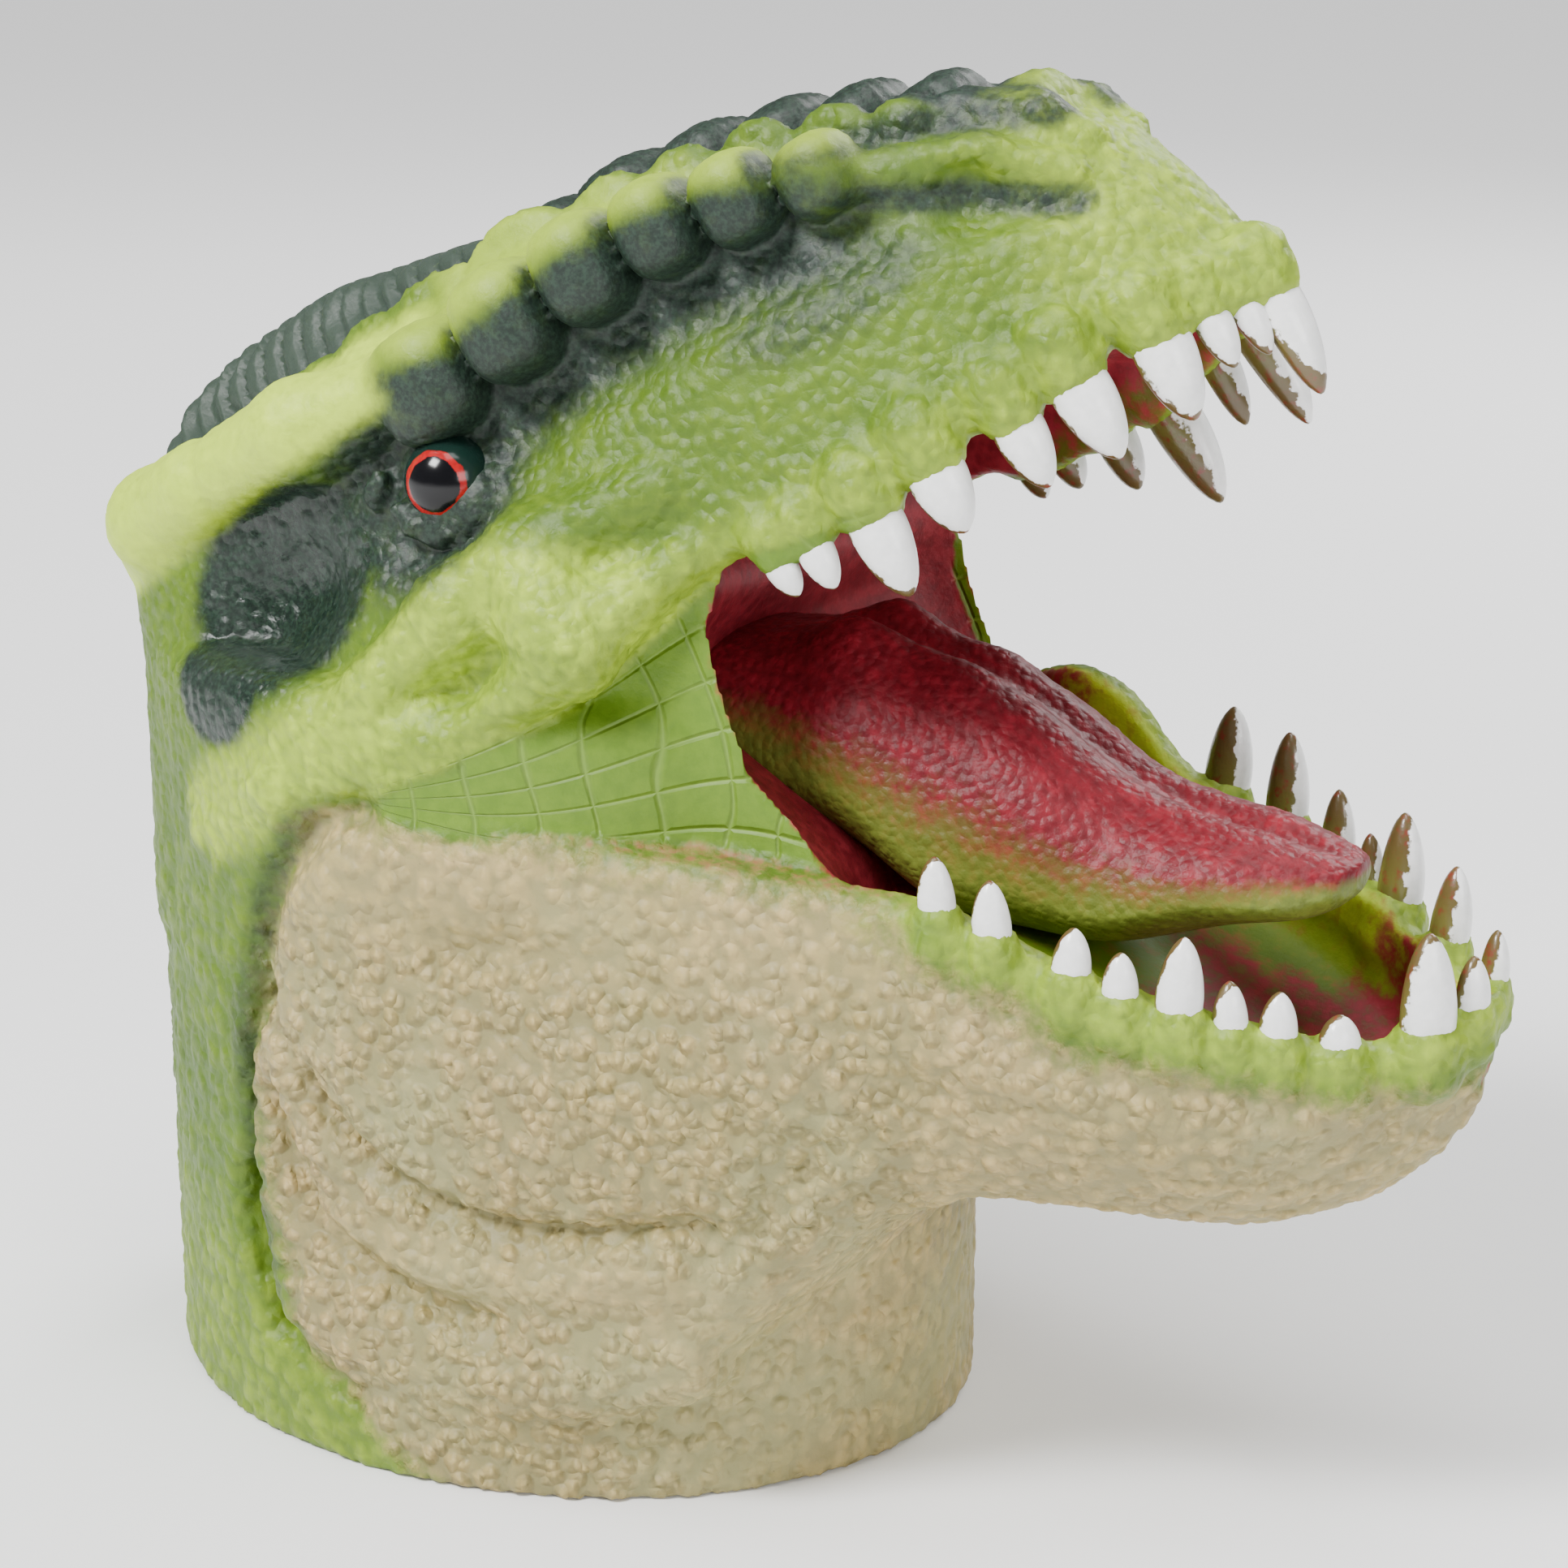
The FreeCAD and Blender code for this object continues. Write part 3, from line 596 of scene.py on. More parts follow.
def relief(points, masks):
    """How far the moulded scales stand out, how deep in a crease each point is (for the shade painted into
    the creases), and how pebbly it is.
    """
    x, y, z = points.T.astype(np.float32)
    u, v = head_frame(x, z)
    warp = points + 0.5 * np.stack([np.sin(0.8 * z), np.sin(0.7 * x), np.sin(0.9 * y)], 1)
    large_near, _, large_tint = pebbles(warp, 2.45, 11)
    small_near, small_second, small_tint = pebbles(warp, 2.1, 29)
    large = np.sqrt(np.clip(1 - (large_near / (0.50 + 0.10 * large_tint))**2, 0, 1))
    large = large * (0.5 + 0.5 * large_tint)
    roll = np.exp(-(line_distance(x, z, ((-2, 29), (10, 26.5), (34, 29))) / 3.5)**2)
    busy = 1 - 0.55 * step(58, 70, z) - 0.5 * step(28, 44, x) * step(36, 24, z) - 0.55 * roll
    busy = np.clip(busy, 0.3, 1)
    busy = np.where(x > 62, 0.75, busy)
    small = np.sqrt(np.clip((small_second - small_near) * 1.7, 0, 1)) * (0.5 + 0.5 * small_tint)
    calm = (1 - masks["web"]) * masks["outer"] * (1 - 0.85 * masks["plain"])
    coarse = np.clip(masks["beige"] + 0.6 * masks["lumps"] + 0.55 * step(30, -10, x) * step(84, 66, z), 0, 1)
    fine = 0.42 * small * (1 - coarse) * (1 - 0.6 * masks["crest"])
    height = (0.8 * large * busy * coarse + fine) * calm
    groove = np.abs(np.cos(math.pi * u / 3.3 + 0.9 * np.sin(0.5 * v) + 0.5 * np.sin(1.7 * u)))**6
    height = height - groove * masks["crest"] * step(0, 5, np.abs(y))
    ridges = np.abs(np.cos(math.pi * y / 2.4 + 0.6 * np.sin(u)))**4
    height = height - 0.3 * ridges * masks["spine"]
    # depth in the crevices between the pebbles, used to paint shade into them
    crevice_shade = 1 - np.where(coarse > 0.5, large, small)
    return height.astype(np.float32), crevice_shade * calm, busy


# ---- meshes
def add_object(name, data):
    obj = bpy.data.objects.new(name, data)
    bpy.context.scene.collection.objects.link(obj)
    return obj


def make_mesh(name, points, faces, attributes, material, normals=None):
    mesh = bpy.data.meshes.new(name)
    mesh.from_pydata((np.asarray(points, float) * MM).tolist(), [], faces)
    mesh.polygons.foreach_set("use_smooth", np.ones(len(mesh.polygons), bool))
    mesh.materials.append(material)
    for key, values in {"rest": points, **attributes}.items():
        kind = "FLOAT_VECTOR" if np.ndim(values) == 2 else "FLOAT"
        layer = mesh.attributes.new(key, kind, "POINT")
        layer.data.foreach_set("vector" if kind == "FLOAT_VECTOR" else "value",
                               np.ascontiguousarray(values, np.float32).ravel())
    if normals is not None:
        mesh.normals_split_custom_set_from_vertices(normals.tolist())
    return add_object(name, mesh)


def vertex_normals(points, triangles):
    a, b, c = (points[triangles[:, i]] for i in range(3))
    face = np.cross(b - a, c - a)
    out = np.zeros_like(points)
    for i in range(3):
        for axis in range(3):
            out[:, axis] += np.bincount(triangles[:, i], face[:, axis], len(points))
    return out / np.maximum(np.linalg.norm(out, axis=1, keepdims=True), 1e-12)


def sculpt_skin():
    x, y, z = axes()
    body = body_field(x, y, z).astype(np.float32)
    depth = distance_inside(body)
    shell = meet(np.maximum(body, -(depth + WALL)), -z, 0.7)
    points, triangles, quads = polygons(shell)
    points = points.astype(np.float64)
    outward = gradient_at(shell, points)
    outside = step(-2.6, -1.2, sample(depth, points))
    masks = paint(points, outside)
    height, crevice_shade, busy = relief(points, masks)
    points = points + outward * height[:, None]
    points[:, 2] = np.maximum(points[:, 2], 0.0)
    split = np.vstack([triangles, quads[:, :3], quads[:, [0, 2, 3]]]).astype(np.int64)
    normals = vertex_normals(points, split)
    if np.mean(np.einsum("ij,ij->i", normals, outward)) < 0:
        triangles, quads, normals = triangles[:, ::-1], quads[:, ::-1], -normals
    return points, triangles, quads, normals, {**masks, "crevice_shade": crevice_shade, "busy": busy}


def region_of(points):
    """0 upper head, 1 lower jaw, 2 neck."""
    x, z = points[:, 0], points[:, 2]
    _, angle = polar(x, z)
    above = z > HINGE_Z + math.tan(SEAM_LEAN) * x
    front = (x > 0) & (angle > -40.0)
    return np.where(above, 0, np.where(front, 1, 2))


def cut_out(name, which, material, points, triangles, quads, normals, attributes):
    faces = [group[region_of(points[group].mean(1)) == which] for group in (triangles, quads) if len(group)]
    used = np.unique(np.concatenate([g.ravel() for g in faces]))
    place = np.full(len(points), -1)
    place[used] = np.arange(len(used))
    lists = [row for g in faces for row in place[g].tolist()]
    attributes = {key: values[used] for key, values in attributes.items()}
    return make_mesh(name, points[used], lists, attributes, material, normals[used])


def swept(rings):
    """A closed skin over rings of equal length; the first and last shrink to points."""
    count = len(rings[0])
    points = np.concatenate([[np.mean(rings[0], 0)], *rings, [np.mean(rings[-1], 0)]])
    faces = []
    for row in range(len(rings) - 1):
        start = 1 + row * count
        for i in range(count):
            j = (i + 1) % count
            faces.append((start + i, start + j, start + count + j, start + count + i))
    last = 1 + (len(rings) - 1) * count
    for i in range(count):
        j = (i + 1) % count
        faces.append((0, 1 + j, 1 + i))
        faces.append((last + i, last + j, len(points) - 1))
    return points, faces


def tooth_points(root, direction, across, out, length, radius, seed):
    """A pointed tooth with a slightly bent, slightly flattened body."""
    random = np.random.default_rng(seed)
    lean = random.uniform(-0.05, 0.05, 2)
    turns = np.linspace(0, 2 * math.pi, 25)[:-1]
    rings = []
    for t in np.concatenate([[-0.3, -0.15], np.linspace(0.0, 0.97, 15), [0.993]]):
        body = max(t, 0.0)
        shape = max(1.0 - body**2.5, 0.0)**0.62 * (0.88 + 0.12 * math.sin(math.pi * min(body + 0.1, 0.5)))
        r = 0.84 * radius * shape
        bend = -0.10 * length * body**2
        centre = root + direction * length * t + out * (bend + lean[0] * length * t)
        centre = centre + across * lean[1] * length * t
        ring = [centre + out * math.cos(a) * r * 0.88 + across * math.sin(a) * r for a in turns]
        rings.append(np.array(ring))
    return swept(rings)


# Teeth: along the head (or x), across, root height, length, radius; the front tooth comes first
UPPER_RIGHT = (
    (105.3, -2, 2, 12.5, 3.3), (103, -5, 2, 6.6, 2.2), (100.4, -7.8, 2.5, 6.8, 2.5),
    (96, -11.5, 3, 10.2, 4), (88, -16.6, 3, 10.2, 4), (81.5, -19.8, 2, 8.4, 3.4),
    (72.8, -23.5, 2, 8.5, 3.9), (65.3, -26, 0.5, 10, 3.8), (58.5, -28, 0.4, 5.6, 2.5),
    (54.4, -29, 0.4, 4.4, 2.2))
UPPER_LEFT = (
    (102, 5.5, 2, 5.8, 2.4), (95.3, 11.8, 2, 14, 3.5), (88, 16.6, 1, 9.5, 2.8),
    (77.5, 22, -1, 13.5, 4), (68.5, 25.3, -0.5, 8, 3.2), (60.5, 27.8, 0.5, 5.5, 2.8),
    (55, 29, 0.5, 4.4, 2.3))
LOWER_RIGHT = (
    (114.4, -3.6, 63.5, 6.5, 2.4), (111.2, -7.8, 61.5, 12, 3.7), (104, -13.8, 60.5, 4.4, 2.8),
    (98.7, -17.7, 62, 5.8, 2.5), (94.5, -20.2, 63, 5.8, 2.3), (89.6, -22.5, 64.4, 9.2, 3.1),
    (84.1, -24.8, 66, 5.6, 2.4), (79.2, -26.3, 68, 5.8, 2.6), (71.2, -28.3, 71.4, 6.9, 2.6),
    (65.4, -29.5, 73.6, 6.6, 2.5))
LOWER_LEFT = (
    (113.8, 4.6, 64, 6.3, 2.2), (105.8, 12.9, 64.5, 9.4, 3), (98.2, 18.1, 66, 11.4, 3.4),
    (94, 20.4, 67, 6.8, 2.1), (89, 22.8, 69, 8.6, 2.6), (81.6, 25.6, 71.5, 11, 3.2),
    (73, 28.1, 73, 11, 3.5))
TOOTH_ROWS = (("upper_tooth_right", UPPER_RIGHT, True), ("upper_tooth_left", UPPER_LEFT, True),
              ("lower_tooth_right", LOWER_RIGHT, False), ("lower_tooth_left", LOWER_LEFT, False))


def tooth_frame(row, upper):
    """Root point, the way the tooth points, and the way its painted face looks."""
    along, across, root, _, _ = row
    profile = LIP_HALF if upper else JAW_LIP_HALF
    slope = float(profile(along + 1.5) - profile(along - 1.5)) / 3.0
    sign = math.copysign(1.0, across)
    front = np.array([-slope, sign, 0.0]) if abs(across) > 3 else np.array([1.0, 0.45 * sign, 0.0])
    front = unit(front)
    if upper:
        root_point = head_point(along, across, root)
        direction = head_point(0, 0, -1) - head_point(0, 0, 0)
        out = head_point(front[0], front[1], 0) - head_point(0, 0, 0)
    else:
        root_point = np.array([along, across, root])
        direction = np.array([0.0, 0.0, 1.0])
        out = front
    direction = unit(direction + out * (0.10 if upper else 0.14))
    return root_point, direction, unit(out - direction * float(out @ direction))


def gum_mounds(field, x, y, z):
    """Soft swellings of the lip around the root of every tooth."""
    reach = int(GUM_REACH / VOXEL)
    for _, rows, upper in TOOTH_ROWS:
        for row in rows:
            root, direction, _ = tooth_frame(row, upper)
            radius = row[4] + 0.4
            cells = ((root - GRID_LOW) / VOXEL).astype(int)
            window = tuple(slice(max(cell - reach, 0), cell + reach) for cell in cells)
            near = (x[window[0]], y[:, window[1]], z[:, :, window[2]])
            mound = capsule(near, root - direction * 3.0, root - direction * 0.4, radius, radius * 0.86)
            field[window] = join(field[window], mound, 1.6)
    return field


def build_teeth(material):
    for prefix, rows, upper in TOOTH_ROWS:
        for number, row in enumerate(rows, start=1):
            root, direction, out = tooth_frame(row, upper)
            across = np.cross(direction, out)
            seed = number + len(rows) * 7 + int(upper) * 31
            points, faces = tooth_points(root, direction, across, out, row[3], row[4], seed)
            away = points - (root + direction * row[3] * 0.4)
            away = away - np.outer(away @ direction, direction)
            away = away / np.maximum(np.linalg.norm(away, axis=1, keepdims=True), 1e-6)
            height = (points - root) @ direction / row[3]
            sprayed = out + np.array([0.75, 0.0, 0.0])
            facing = away @ unit(sprayed) + np.clip(height - 0.75, 0, 1)
            name = f"{prefix}_{number}"
            tooth = make_mesh("look_" + name, points, faces, {"facing": facing, "rise": height}, material)
            finish_piece(tooth, "upper_head" if upper else "lower_jaw", [name])


def finish_piece(obj, body, nodes):
    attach(obj, body)
    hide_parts(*nodes)


# ---- tongue
TONGUE_TOP = curve([
    (20, 93), (34.7, 95.5), (49.2, 95), (63.3, 90.4), (74.2, 84), (83.8, 80.8), (93.1, 79.4), (99, 77.6),
    (103, 75.6)])
TONGUE_EDGE = curve([
    (20, 86), (34, 84.5), (44, 80), (54, 75.2), (67.2, 71.6), (81.4, 71.8), (93, 73.8), (103, 75.4)])
TONGUE_HALF = curve([
    (20, 15), (34, 15.5), (46, 15.2), (60, 14.6), (75, 13.4), (86, 12), (93, 10.2), (97.6, 7.4),
    (99.9, 4.2), (100.6, 1)])


def build_tongue(material):
    tip = TIP_START + 5 * np.sin(np.linspace(0.03, math.pi / 2, 16))
    turns = np.linspace(0, 2 * math.pi, 131)[:-1]
    rings = []
    for x in np.concatenate([np.linspace(22, TIP_START, 106), tip]):
        top, edge, half = (float(profile(x)) for profile in (TONGUE_TOP, TONGUE_EDGE, TONGUE_HALF))
        under = 3.2 + 5.3 * float(step(100, 50, x))
        under = under * math.sqrt(max(1.0 - (max(x - TIP_START, 0.0) / 5.2)**2, 0.05))
        across = np.sign(np.cos(turns)) * np.abs(np.cos(turns))**0.9 * half
        rise = np.sin(turns)
        z = np.where(rise > 0, edge + (top - edge) * np.abs(rise)**1.05, edge - under * np.abs(rise)**1.2)
        hump = 2.6 * math.exp(-((x - 42) / 5.0)**2) + 1.4 * math.exp(-((x - 56) / 4.5)**2)
        groove = 1.6 * np.exp(-(across / 2.2)**2) * float(step(30, 50, x)) * float(step(101, 92, x))
        z = z + np.where(rise > 0, (hump * np.exp(-((np.abs(across) - 6) / 4.5)**2) - groove), 0.0)
        z = z + 0.7 * math.sin(0.31 * x) * (np.abs(across) / 14.0)
        rings.append(np.stack([np.full_like(across, x), across, z], 1))
    points, faces = swept(rings)
    near, second, tint = pebbles(points, 1.7, 5)
    x, y, z = points.T
    share = (z - TONGUE_EDGE(x)) / np.maximum(TONGUE_TOP(x) - TONGUE_EDGE(x), 1.0)
    top = step(-0.1, 0.35, share)
    bumps = np.sqrt(np.clip((second - near) * 1.6, 0, 1)) * (0.4 + 0.6 * tint)
    points[:, 2] += 0.32 * bumps * top
    tongue = make_mesh("look_tongue", points, faces, {"share": share, "crevice_shade": 1 - bumps}, material)
    finish_piece(tongue, "lower_jaw", ["tongue"])


def build_eyes(material):
    """Two balls; "turned" is the angle in degrees away from where the eye looks."""
    along, across, rise = EYE_CENTRE
    turns = 2 * math.pi * np.arange(64) / 64
    away = np.linspace(0.03, 1.0, 34) * math.pi * 0.98
    turned = np.degrees(np.concatenate([[0.0], np.repeat(away, len(turns)), [math.pi]]))
    for side_name, side in (("right", -1.0), ("left", 1.0)):
        centre = head_point(along, side * across, rise)
        look = unit(np.array([0.16, side * 0.98, 0.05]))
        first = unit(np.cross(look, [0, 0, 1.0]))
        circle = np.outer(np.cos(turns), first) + np.outer(np.sin(turns), np.cross(look, first))
        rings = [centre + EYE_RADIUS * (look * math.cos(p) + math.sin(p) * circle) for p in away]
        points, faces = swept(rings)
        eye = make_mesh(f"look_eye_{side_name}", points, faces, {"turned": turned}, material)
        finish_piece(eye, "upper_head", [f"eye_{side_name}"])


# ---- materials
class Shader:
    """A few short calls for building a node tree."""

    def __init__(self, name):
        self.material = bpy.data.materials.new(name)
        self.material.use_nodes = True
        self.tree = self.material.node_tree
        self.principled = self.tree.nodes["Principled BSDF"]

    def set(self, socket, value):
        if hasattr(value, "is_output"):
            self.tree.links.new(value, socket)
        else:
            socket.default_value = value

    def node(self, kind, **inputs):
        node = self.tree.nodes.new("ShaderNode" + kind)
        for key, value in inputs.items():
            self.set(node.inputs[key.replace("_", " ")], value)
        return node

    def attribute(self, name, output="Fac"):
        node = self.node("Attribute")
        node.attribute_name = name
        return node.outputs[output]

    def math(self, operation, a, b=0.0, kind="Math"):
        node = self.node(kind)
        node.operation = operation
        self.set(node.inputs[0], a)
        self.set(node.inputs[1], b)
        return node.outputs[0]

    def times(self, a, b):
        return self.math("MULTIPLY", a, b)

    def without(self, value, mask):
        return self.times(value, self.math("SUBTRACT", 1.0, mask))

    def frayed(self, name, noise, amount):
        """A mask of the mesh with its edge broken up by noise."""
        return self.math("ADD", self.attribute(name), self.ramp(noise, 0.3, 0.7, -amount, amount))

    def sprayed(self, name, noise, amount, edge, foot):
        """Paint with a frayed edge, and none where the mask is zero."""
        return self.times(self.ramp(self.frayed(name, noise, amount), *edge),
                          self.ramp(self.attribute(name), *foot))

    def ramp(self, value, low, high, to_low=0.0, to_high=1.0):
        node = self.node("MapRange", Value=value, From_Min=low, From_Max=high, To_Min=to_low, To_Max=to_high)
        node.interpolation_type = "SMOOTHSTEP"
        return node.outputs["Result"]

    def mix(self, share, a, b):
        node = self.node("Mix")
        node.data_type = "RGBA"
        self.set(node.inputs[0], share)
        for socket, value in ((node.inputs[6], a), (node.inputs[7], b)):
            self.set(socket, value if hasattr(value, "is_output") else (*value, 1.0))
        return node.outputs[2]

    def noise(self, place, scale, detail=4.0, rough=0.55):
        node = self.node("TexNoise", Vector=place, Scale=scale, Detail=detail, Roughness=rough)
        return node.outputs["Fac"]

    def cells(self, place, scale):
        return self.node("TexVoronoi", Vector=place, Scale=scale).outputs["Distance"]

    def bump(self, height, strength, distance, normal=None):
        node = self.node("Bump", Height=height, Strength=strength, Distance=distance)
        if normal is not None:
            self.set(node.inputs["Normal"], normal)
        return node.outputs["Normal"]

    def surface(self, **inputs):
        for key, value in inputs.items():
            self.set(self.principled.inputs[key.replace("_", " ")], value)
        return self.material


def skin_material():
    s = Shader("rubber_skin")
    place = s.attribute("rest", "Vector")
    broad = s.noise(place, 0.06, 3)
    fine = s.noise(place, 0.55, 5, 0.6)
    speck = s.noise(place, 1.9, 2)
    crevice_shade = s.attribute("crevice_shade")
    green = s.mix(s.ramp(broad, 0.35, 0.65), (0.075, 0.135, 0.004), (0.115, 0.19, 0.007))
    green = s.mix(s.ramp(fine, 0.4, 0.75, 0, 0.5), green, (0.165, 0.255, 0.012))
    # pale yellow-green: painted highlights on raised parts and painted light on the shaded far lip, with the
    # paler paint of the lips and neck
    pale_paint_and_highlight = s.times(s.attribute("pale_paint_and_highlight"), s.ramp(fine, 0.15, 0.55, 0.7, 1))
    colour = s.mix(pale_paint_and_highlight, green, (0.49, 0.66, 0.042))
    web_colour = s.mix(s.ramp(fine, 0.3, 0.7), (0.095, 0.185, 0.008), (0.125, 0.225, 0.012))
    colour = s.mix(s.attribute("web"), colour, web_colour)
    # painted shade: darker green in the crevices between the pebbles
    colour = s.mix(s.times(crevice_shade, 0.6), colour, (0.045, 0.105, 0.006))

    bead = s.cells(s.math("ADD", place, s.noise(place, 0.35, 2), "VectorMath"), 0.50)
    busy = s.attribute("busy")
    beige = s.sprayed("beige", fine, 0.16, (0.10, 0.90), (0.02, 0.2))
    sand = s.mix(s.ramp(broad, 0.3, 0.7), (0.47, 0.35, 0.145), (0.4, 0.315, 0.12))
    # painted shade: the beige darkens in the crevices and in the gaps between the beads
    sand = s.mix(s.ramp(crevice_shade, 0.45, 1, 0, 0.55), sand, (0.23, 0.205, 0.09))
    gap_shade = s.times(s.ramp(bead, 0.42, 0.72), busy)
    sand = s.mix(s.times(gap_shade, 0.62), sand, (0.17, 0.16, 0.068))
    sand = s.mix(s.ramp(s.noise(place, 0.035, 4), 0.48, 0.68, 0, 0.45), sand, (0.33, 0.33, 0.15))
    sand = s.mix(s.ramp(speck, 0.72, 0.78, 0, 0.5), sand, (0.15, 0.12, 0.06))
    colour = s.mix(beige, colour, sand)

    # dark green: the paint of the crest and midline scutes, and painted shade under the brow, in the
    # hollows, in the creases and in the scute gaps
    dark_paint_and_shade = s.sprayed("dark_paint_and_shade", fine, 0.12, (0.05, 0.95), (0, 0.15))
    dark_green_and_shade = s.mix(s.ramp(speck, 0.35, 0.7), (0.006, 0.014, 0.009), (0.016, 0.035, 0.022))
    dark_green_and_shade = s.mix(s.attribute("crest"), dark_green_and_shade, (0.03, 0.048, 0.034))
    colour = s.mix(dark_paint_and_shade, colour, dark_green_and_shade)

    red = s.sprayed("red", fine, 0.2, (0.15, 0.85), (0, 0.15))
    blood = s.mix(s.ramp(fine, 0.35, 0.7), (0.185, 0.01, 0.018), (0.32, 0.024, 0.036))
    colour = s.mix(red, colour, blood)

    weave = s.node("SeparateXYZ", Vector=s.attribute("weave", "Vector"))
    lines = []
    for count in weave.outputs[:2]:
        saw = s.math("SUBTRACT", s.math("FRACT", count), 0.5)
        lines.append(s.ramp(s.math("ABSOLUTE", saw), 0, 0.085, 1, 0))
    grid = s.times(s.math("MAXIMUM", *lines), s.attribute("web"))
    colour = s.mix(s.times(grid, 0.28), colour, (0.26, 0.39, 0.08))

    pebble = s.times(s.ramp(s.cells(place, 0.58), 0, 0.75, 1, 0), s.attribute("outer"))
    for mask in (s.attribute("web"), s.attribute("plain"), s.times(beige, 0.7)):
        pebble = s.without(pebble, mask)
    normal = s.bump(pebble, 0.42, 0.7 * MM)
    dome = s.times(s.ramp(bead, 0.05, 0.70, 1, 0), s.times(beige, busy))
    normal = s.bump(dome, 0.85, 1.3 * MM, normal)
    normal = s.bump(s.noise(place, 1.6, 6, 0.6), 0.30, 0.35 * MM, normal)
    normal = s.bump(s.times(grid, -1), 0.7, 0.5 * MM, normal)
    rough = s.ramp(s.attribute("lumps"), 0, 1, 0.48, 0.20)
    rough = s.math("ADD", rough, s.ramp(fine, 0.2, 0.8, -0.05, 0.07))
    rough = s.math("ADD", rough, s.times(beige, 0.02))
    return s.surface(Base_Color=colour, Roughness=rough, Normal=normal, Specular_IOR_Level=0.38,
                     Subsurface_Weight=0.06, Subsurface_Radius=(1, 1, 0.35), Subsurface_Scale=0.0015)


def tooth_material():
    s = Shader("tooth_paint")
    place = s.attribute("rest", "Vector")
    fine = s.noise(place, 0.9, 4)
    painted = s.times(s.ramp(s.frayed("facing", fine, 0.16), -0.22, -0.10),
                      s.ramp(s.frayed("rise", fine, 0.05), 0.02, 0.07))
    bare = s.mix(s.ramp(s.attribute("rise"), 0, 0.8), (0.15, 0.15, 0.03), (0.11, 0.075, 0.025))
    bare = s.mix(s.ramp(fine, 0.50, 0.72), bare, (0.2, 0.035, 0.022))
    white = s.mix(s.ramp(fine, 0.3, 0.7), (0.83, 0.835, 0.82), (0.9, 0.9, 0.89))
    colour = s.mix(painted, bare, white)
    normal = s.bump(s.noise(place, 0.7, 3), 0.25, 0.4 * MM)
    return s.surface(Base_Color=colour, Roughness=0.28, Normal=normal, Coat_Weight=0.3, Coat_Roughness=0.15)


def tongue_material():
    s = Shader("tongue_rubber")
    place = s.attribute("rest", "Vector")
    fine = s.noise(place, 0.6, 5, 0.6)
    red = s.mix(s.ramp(fine, 0.35, 0.7), (0.16, 0.006, 0.013), (0.245, 0.011, 0.022))
    # painted shade: darker red in the crevices between the tongue's bumps
    red = s.mix(s.ramp(s.attribute("crevice_shade"), 0.3, 1, 0, 0.6), red, (0.07, 0.003, 0.006))
    side = s.mix(s.ramp(fine, 0.35, 0.65), (0.12, 0.15, 0.02), (0.17, 0.215, 0.03))
    colour = s.mix(s.ramp(s.frayed("share", fine, 0.10), -0.05, 0.50), side, red)
    normal = s.bump(s.ramp(s.cells(place, 0.85), 0, 0.8, 1, 0), 0.35, 0.4 * MM)
    normal = s.bump(s.noise(place, 2, 4), 0.3, 0.3 * MM, normal)
    return s.surface(Base_Color=colour, Roughness=0.45, Normal=normal, Specular_IOR_Level=0.3)


def eye_material():
    s = Shader("eye_paint")
    place = s.attribute("rest", "Vector")
    turned = s.frayed("turned", s.noise(place, 0.8, 3), 1.5)
    ring = s.mix(s.ramp(s.noise(place, 1.5, 3), 0.3, 0.7), (0.3, 0.006, 0.008), (0.4, 0.01, 0.01))
    colour = s.mix(s.ramp(turned, 35, 37), (0.002, 0.002, 0.003), ring)
    colour = s.mix(s.ramp(turned, 45, 47), colour, (0.006, 0.02, 0.015))
    return s.surface(Base_Color=colour, Roughness=0.16, Specular_IOR_Level=0.35)


def floor_material():
    s = Shader("floor_paper")
    place = s.node("NewGeometry").outputs["Position"]
    colour = s.mix(s.noise(place, 300, 3), (0.86, 0.86, 0.86), (0.88, 0.88, 0.88))
    away = s.node("VectorMath")
    away.operation = "LENGTH"
    s.set(away.inputs[0], place)
    # The floor glows, weakly near the puppet and strongly away from it: painted light that whitens the far
    # floor while the shadow near the puppet stays.
    glow = s.ramp(away.outputs["Value"], 0.12, 1.1, 0.06, 0.80)
    return s.surface(Base_Color=colour, Roughness=0.75, Emission_Color=colour, Emission_Strength=glow)


# ---- pieces, lights and camera; metres
LIT_POINT = (0.03, 0.0, 0.08)
CAMERA_DISTANCE = 0.400


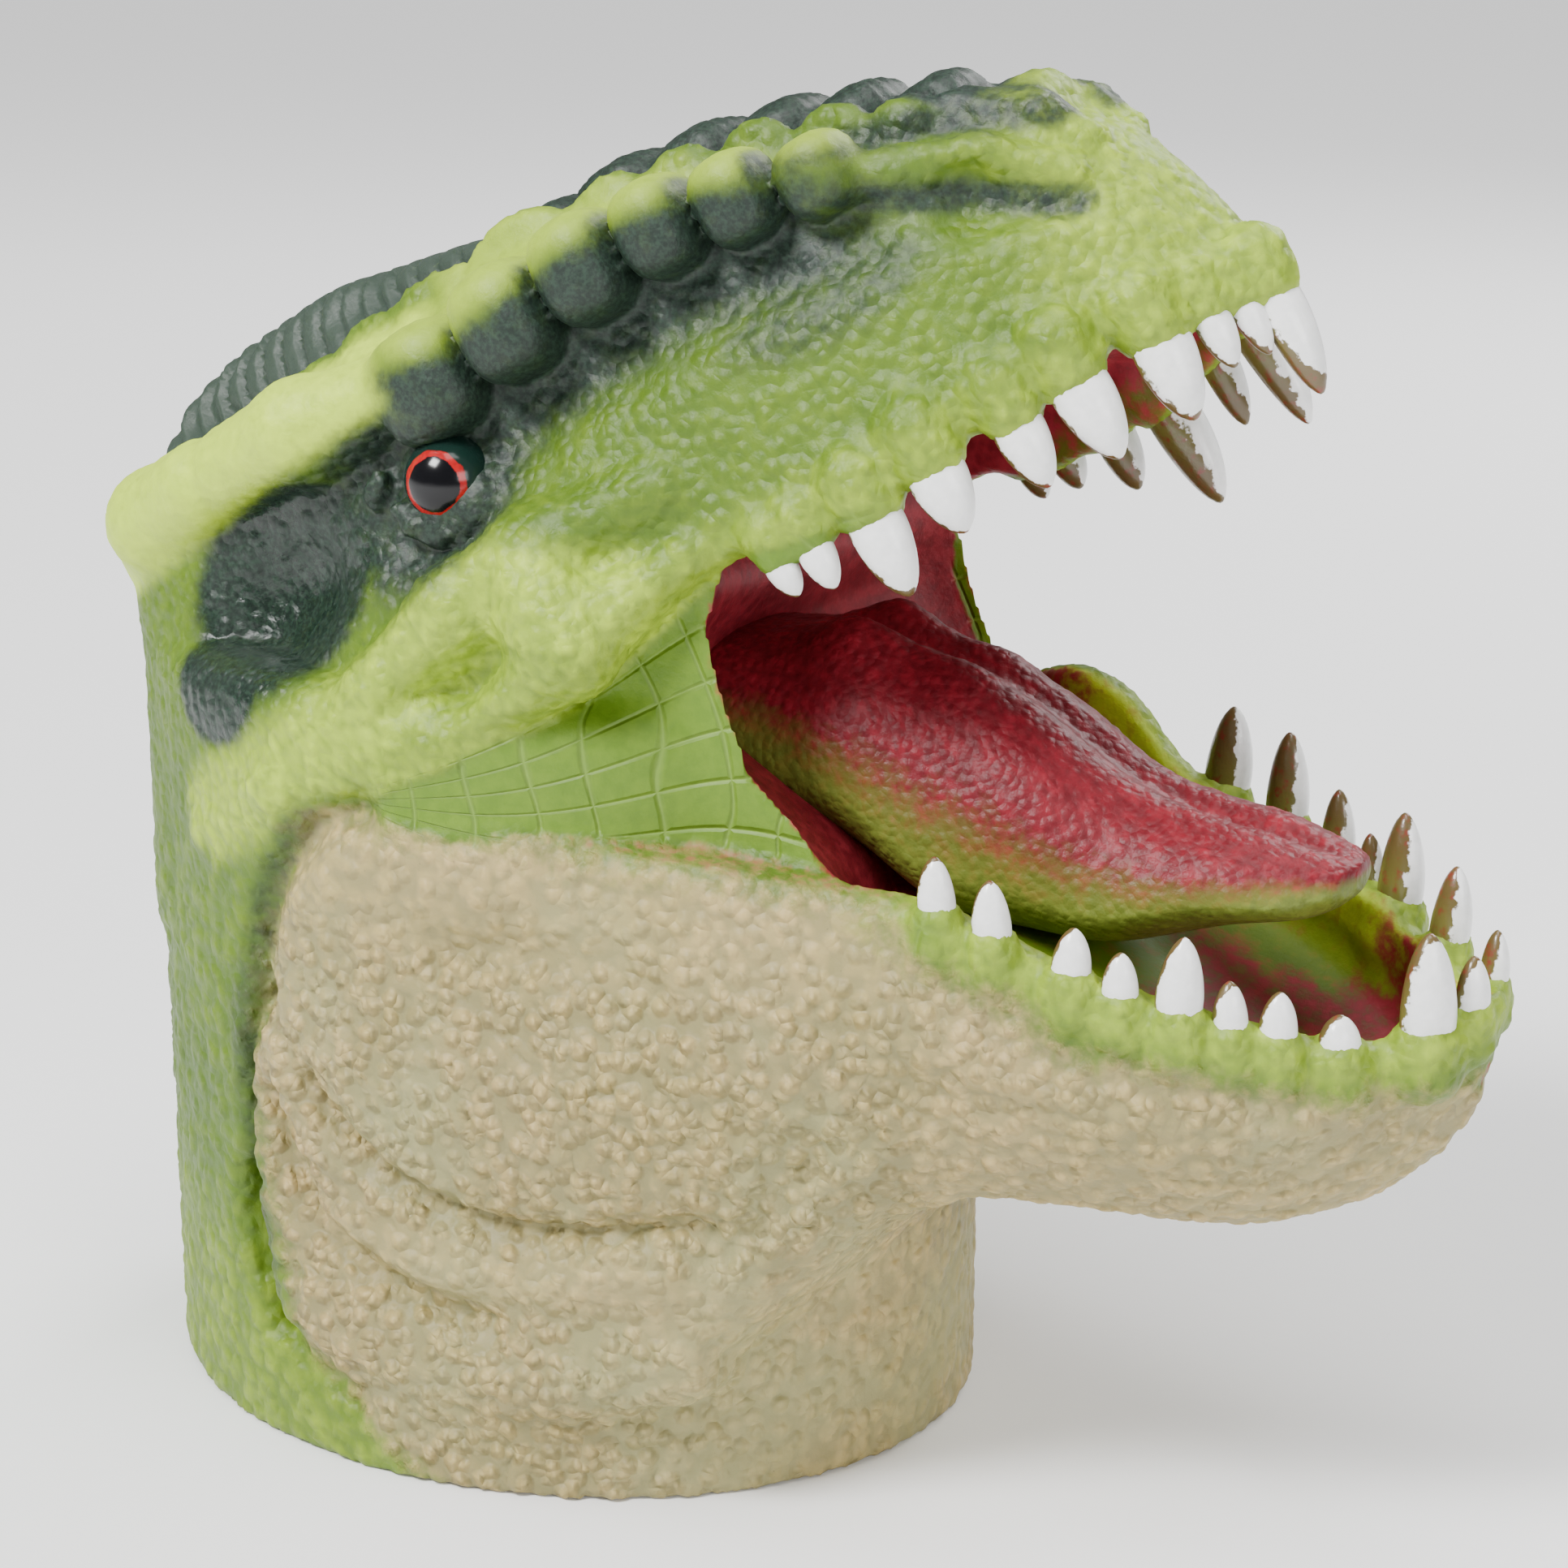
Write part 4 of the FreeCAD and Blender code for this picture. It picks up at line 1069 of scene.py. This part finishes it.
def build_skin(material):
    skin = sculpt_skin()
    pieces = [cut_out(name, which, material, *skin)
              for which, name in enumerate(("head_skin", "jaw_skin", "neck_skin"))]
    head, jaw, neck = pieces
    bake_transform(head)
    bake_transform(jaw)
    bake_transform(neck)
    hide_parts("skull_shell", "palate", "throat_wall", "nape_crest", "spine_scutes",
                *(f"{part}_{side}" for part in ("cheek_web", "brow_ridge", "brow_scutes", "crown_scutes")
                  for side in ("right", "left")))
    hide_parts("jaw_shell", "mouth_floor")
    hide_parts("neck_sleeve")


def aim(obj, way):
    obj.rotation_euler = way.to_track_quat("-Z", "Y").to_euler()


def area_light(name, place, size, power):
    data = bpy.data.lights.new(name, "AREA")
    data.shape = "RECTANGLE"
    data.size, data.size_y = size
    data.energy = power
    light = add_object(name, data)
    light.location = place
    aim(light, Vector(LIT_POINT) - Vector(place))


def build_stage():
    bpy.ops.mesh.primitive_plane_add(size=6.0, location=(0.0, 0.0, -0.0002))
    floor = bpy.context.object
    floor.name = "floor"
    floor.data.materials.append(floor_material())
    area_light("key_light", (-0.30, -0.70, 0.90), (0.35, 0.30), 22.0)
    area_light("fill_light", (0.95, -0.45, 0.45), (0.5, 0.4), 5.0)
    area_light("back_light", (0.2, 0.9, 0.7), (0.6, 0.4), 8.0)
    area_light("top_light", (0.15, -0.1, 1.2), (0.7, 0.7), 10.0)
    world = bpy.data.worlds.new("studio")
    bpy.context.scene.world = world
    world.use_nodes = True
    background = world.node_tree.nodes["Background"]
    background.inputs["Color"].default_value = (1.0, 1.0, 1.0, 1.0)
    background.inputs["Strength"].default_value = 0.32


def build_camera():
    target = Vector((0.030, 0.0, 0.0755))
    turn, rise = math.radians(30.0), math.radians(16.0)
    away = Vector((math.sin(turn) * math.cos(rise), -math.cos(turn) * math.cos(rise), math.sin(rise)))
    data = bpy.data.cameras.new("camera")
    data.lens = 79.57
    data.sensor_width = 36.0
    data.clip_start = 0.01
    data.dof.use_dof = False
    camera = add_object("camera", data)
    camera.location = target + CAMERA_DISTANCE * away
    aim(camera, -away)
    bpy.context.scene.camera = camera


build_skin(skin_material())
build_teeth(tooth_material())
build_tongue(tongue_material())
build_eyes(eye_material())
build_stage()
build_camera()
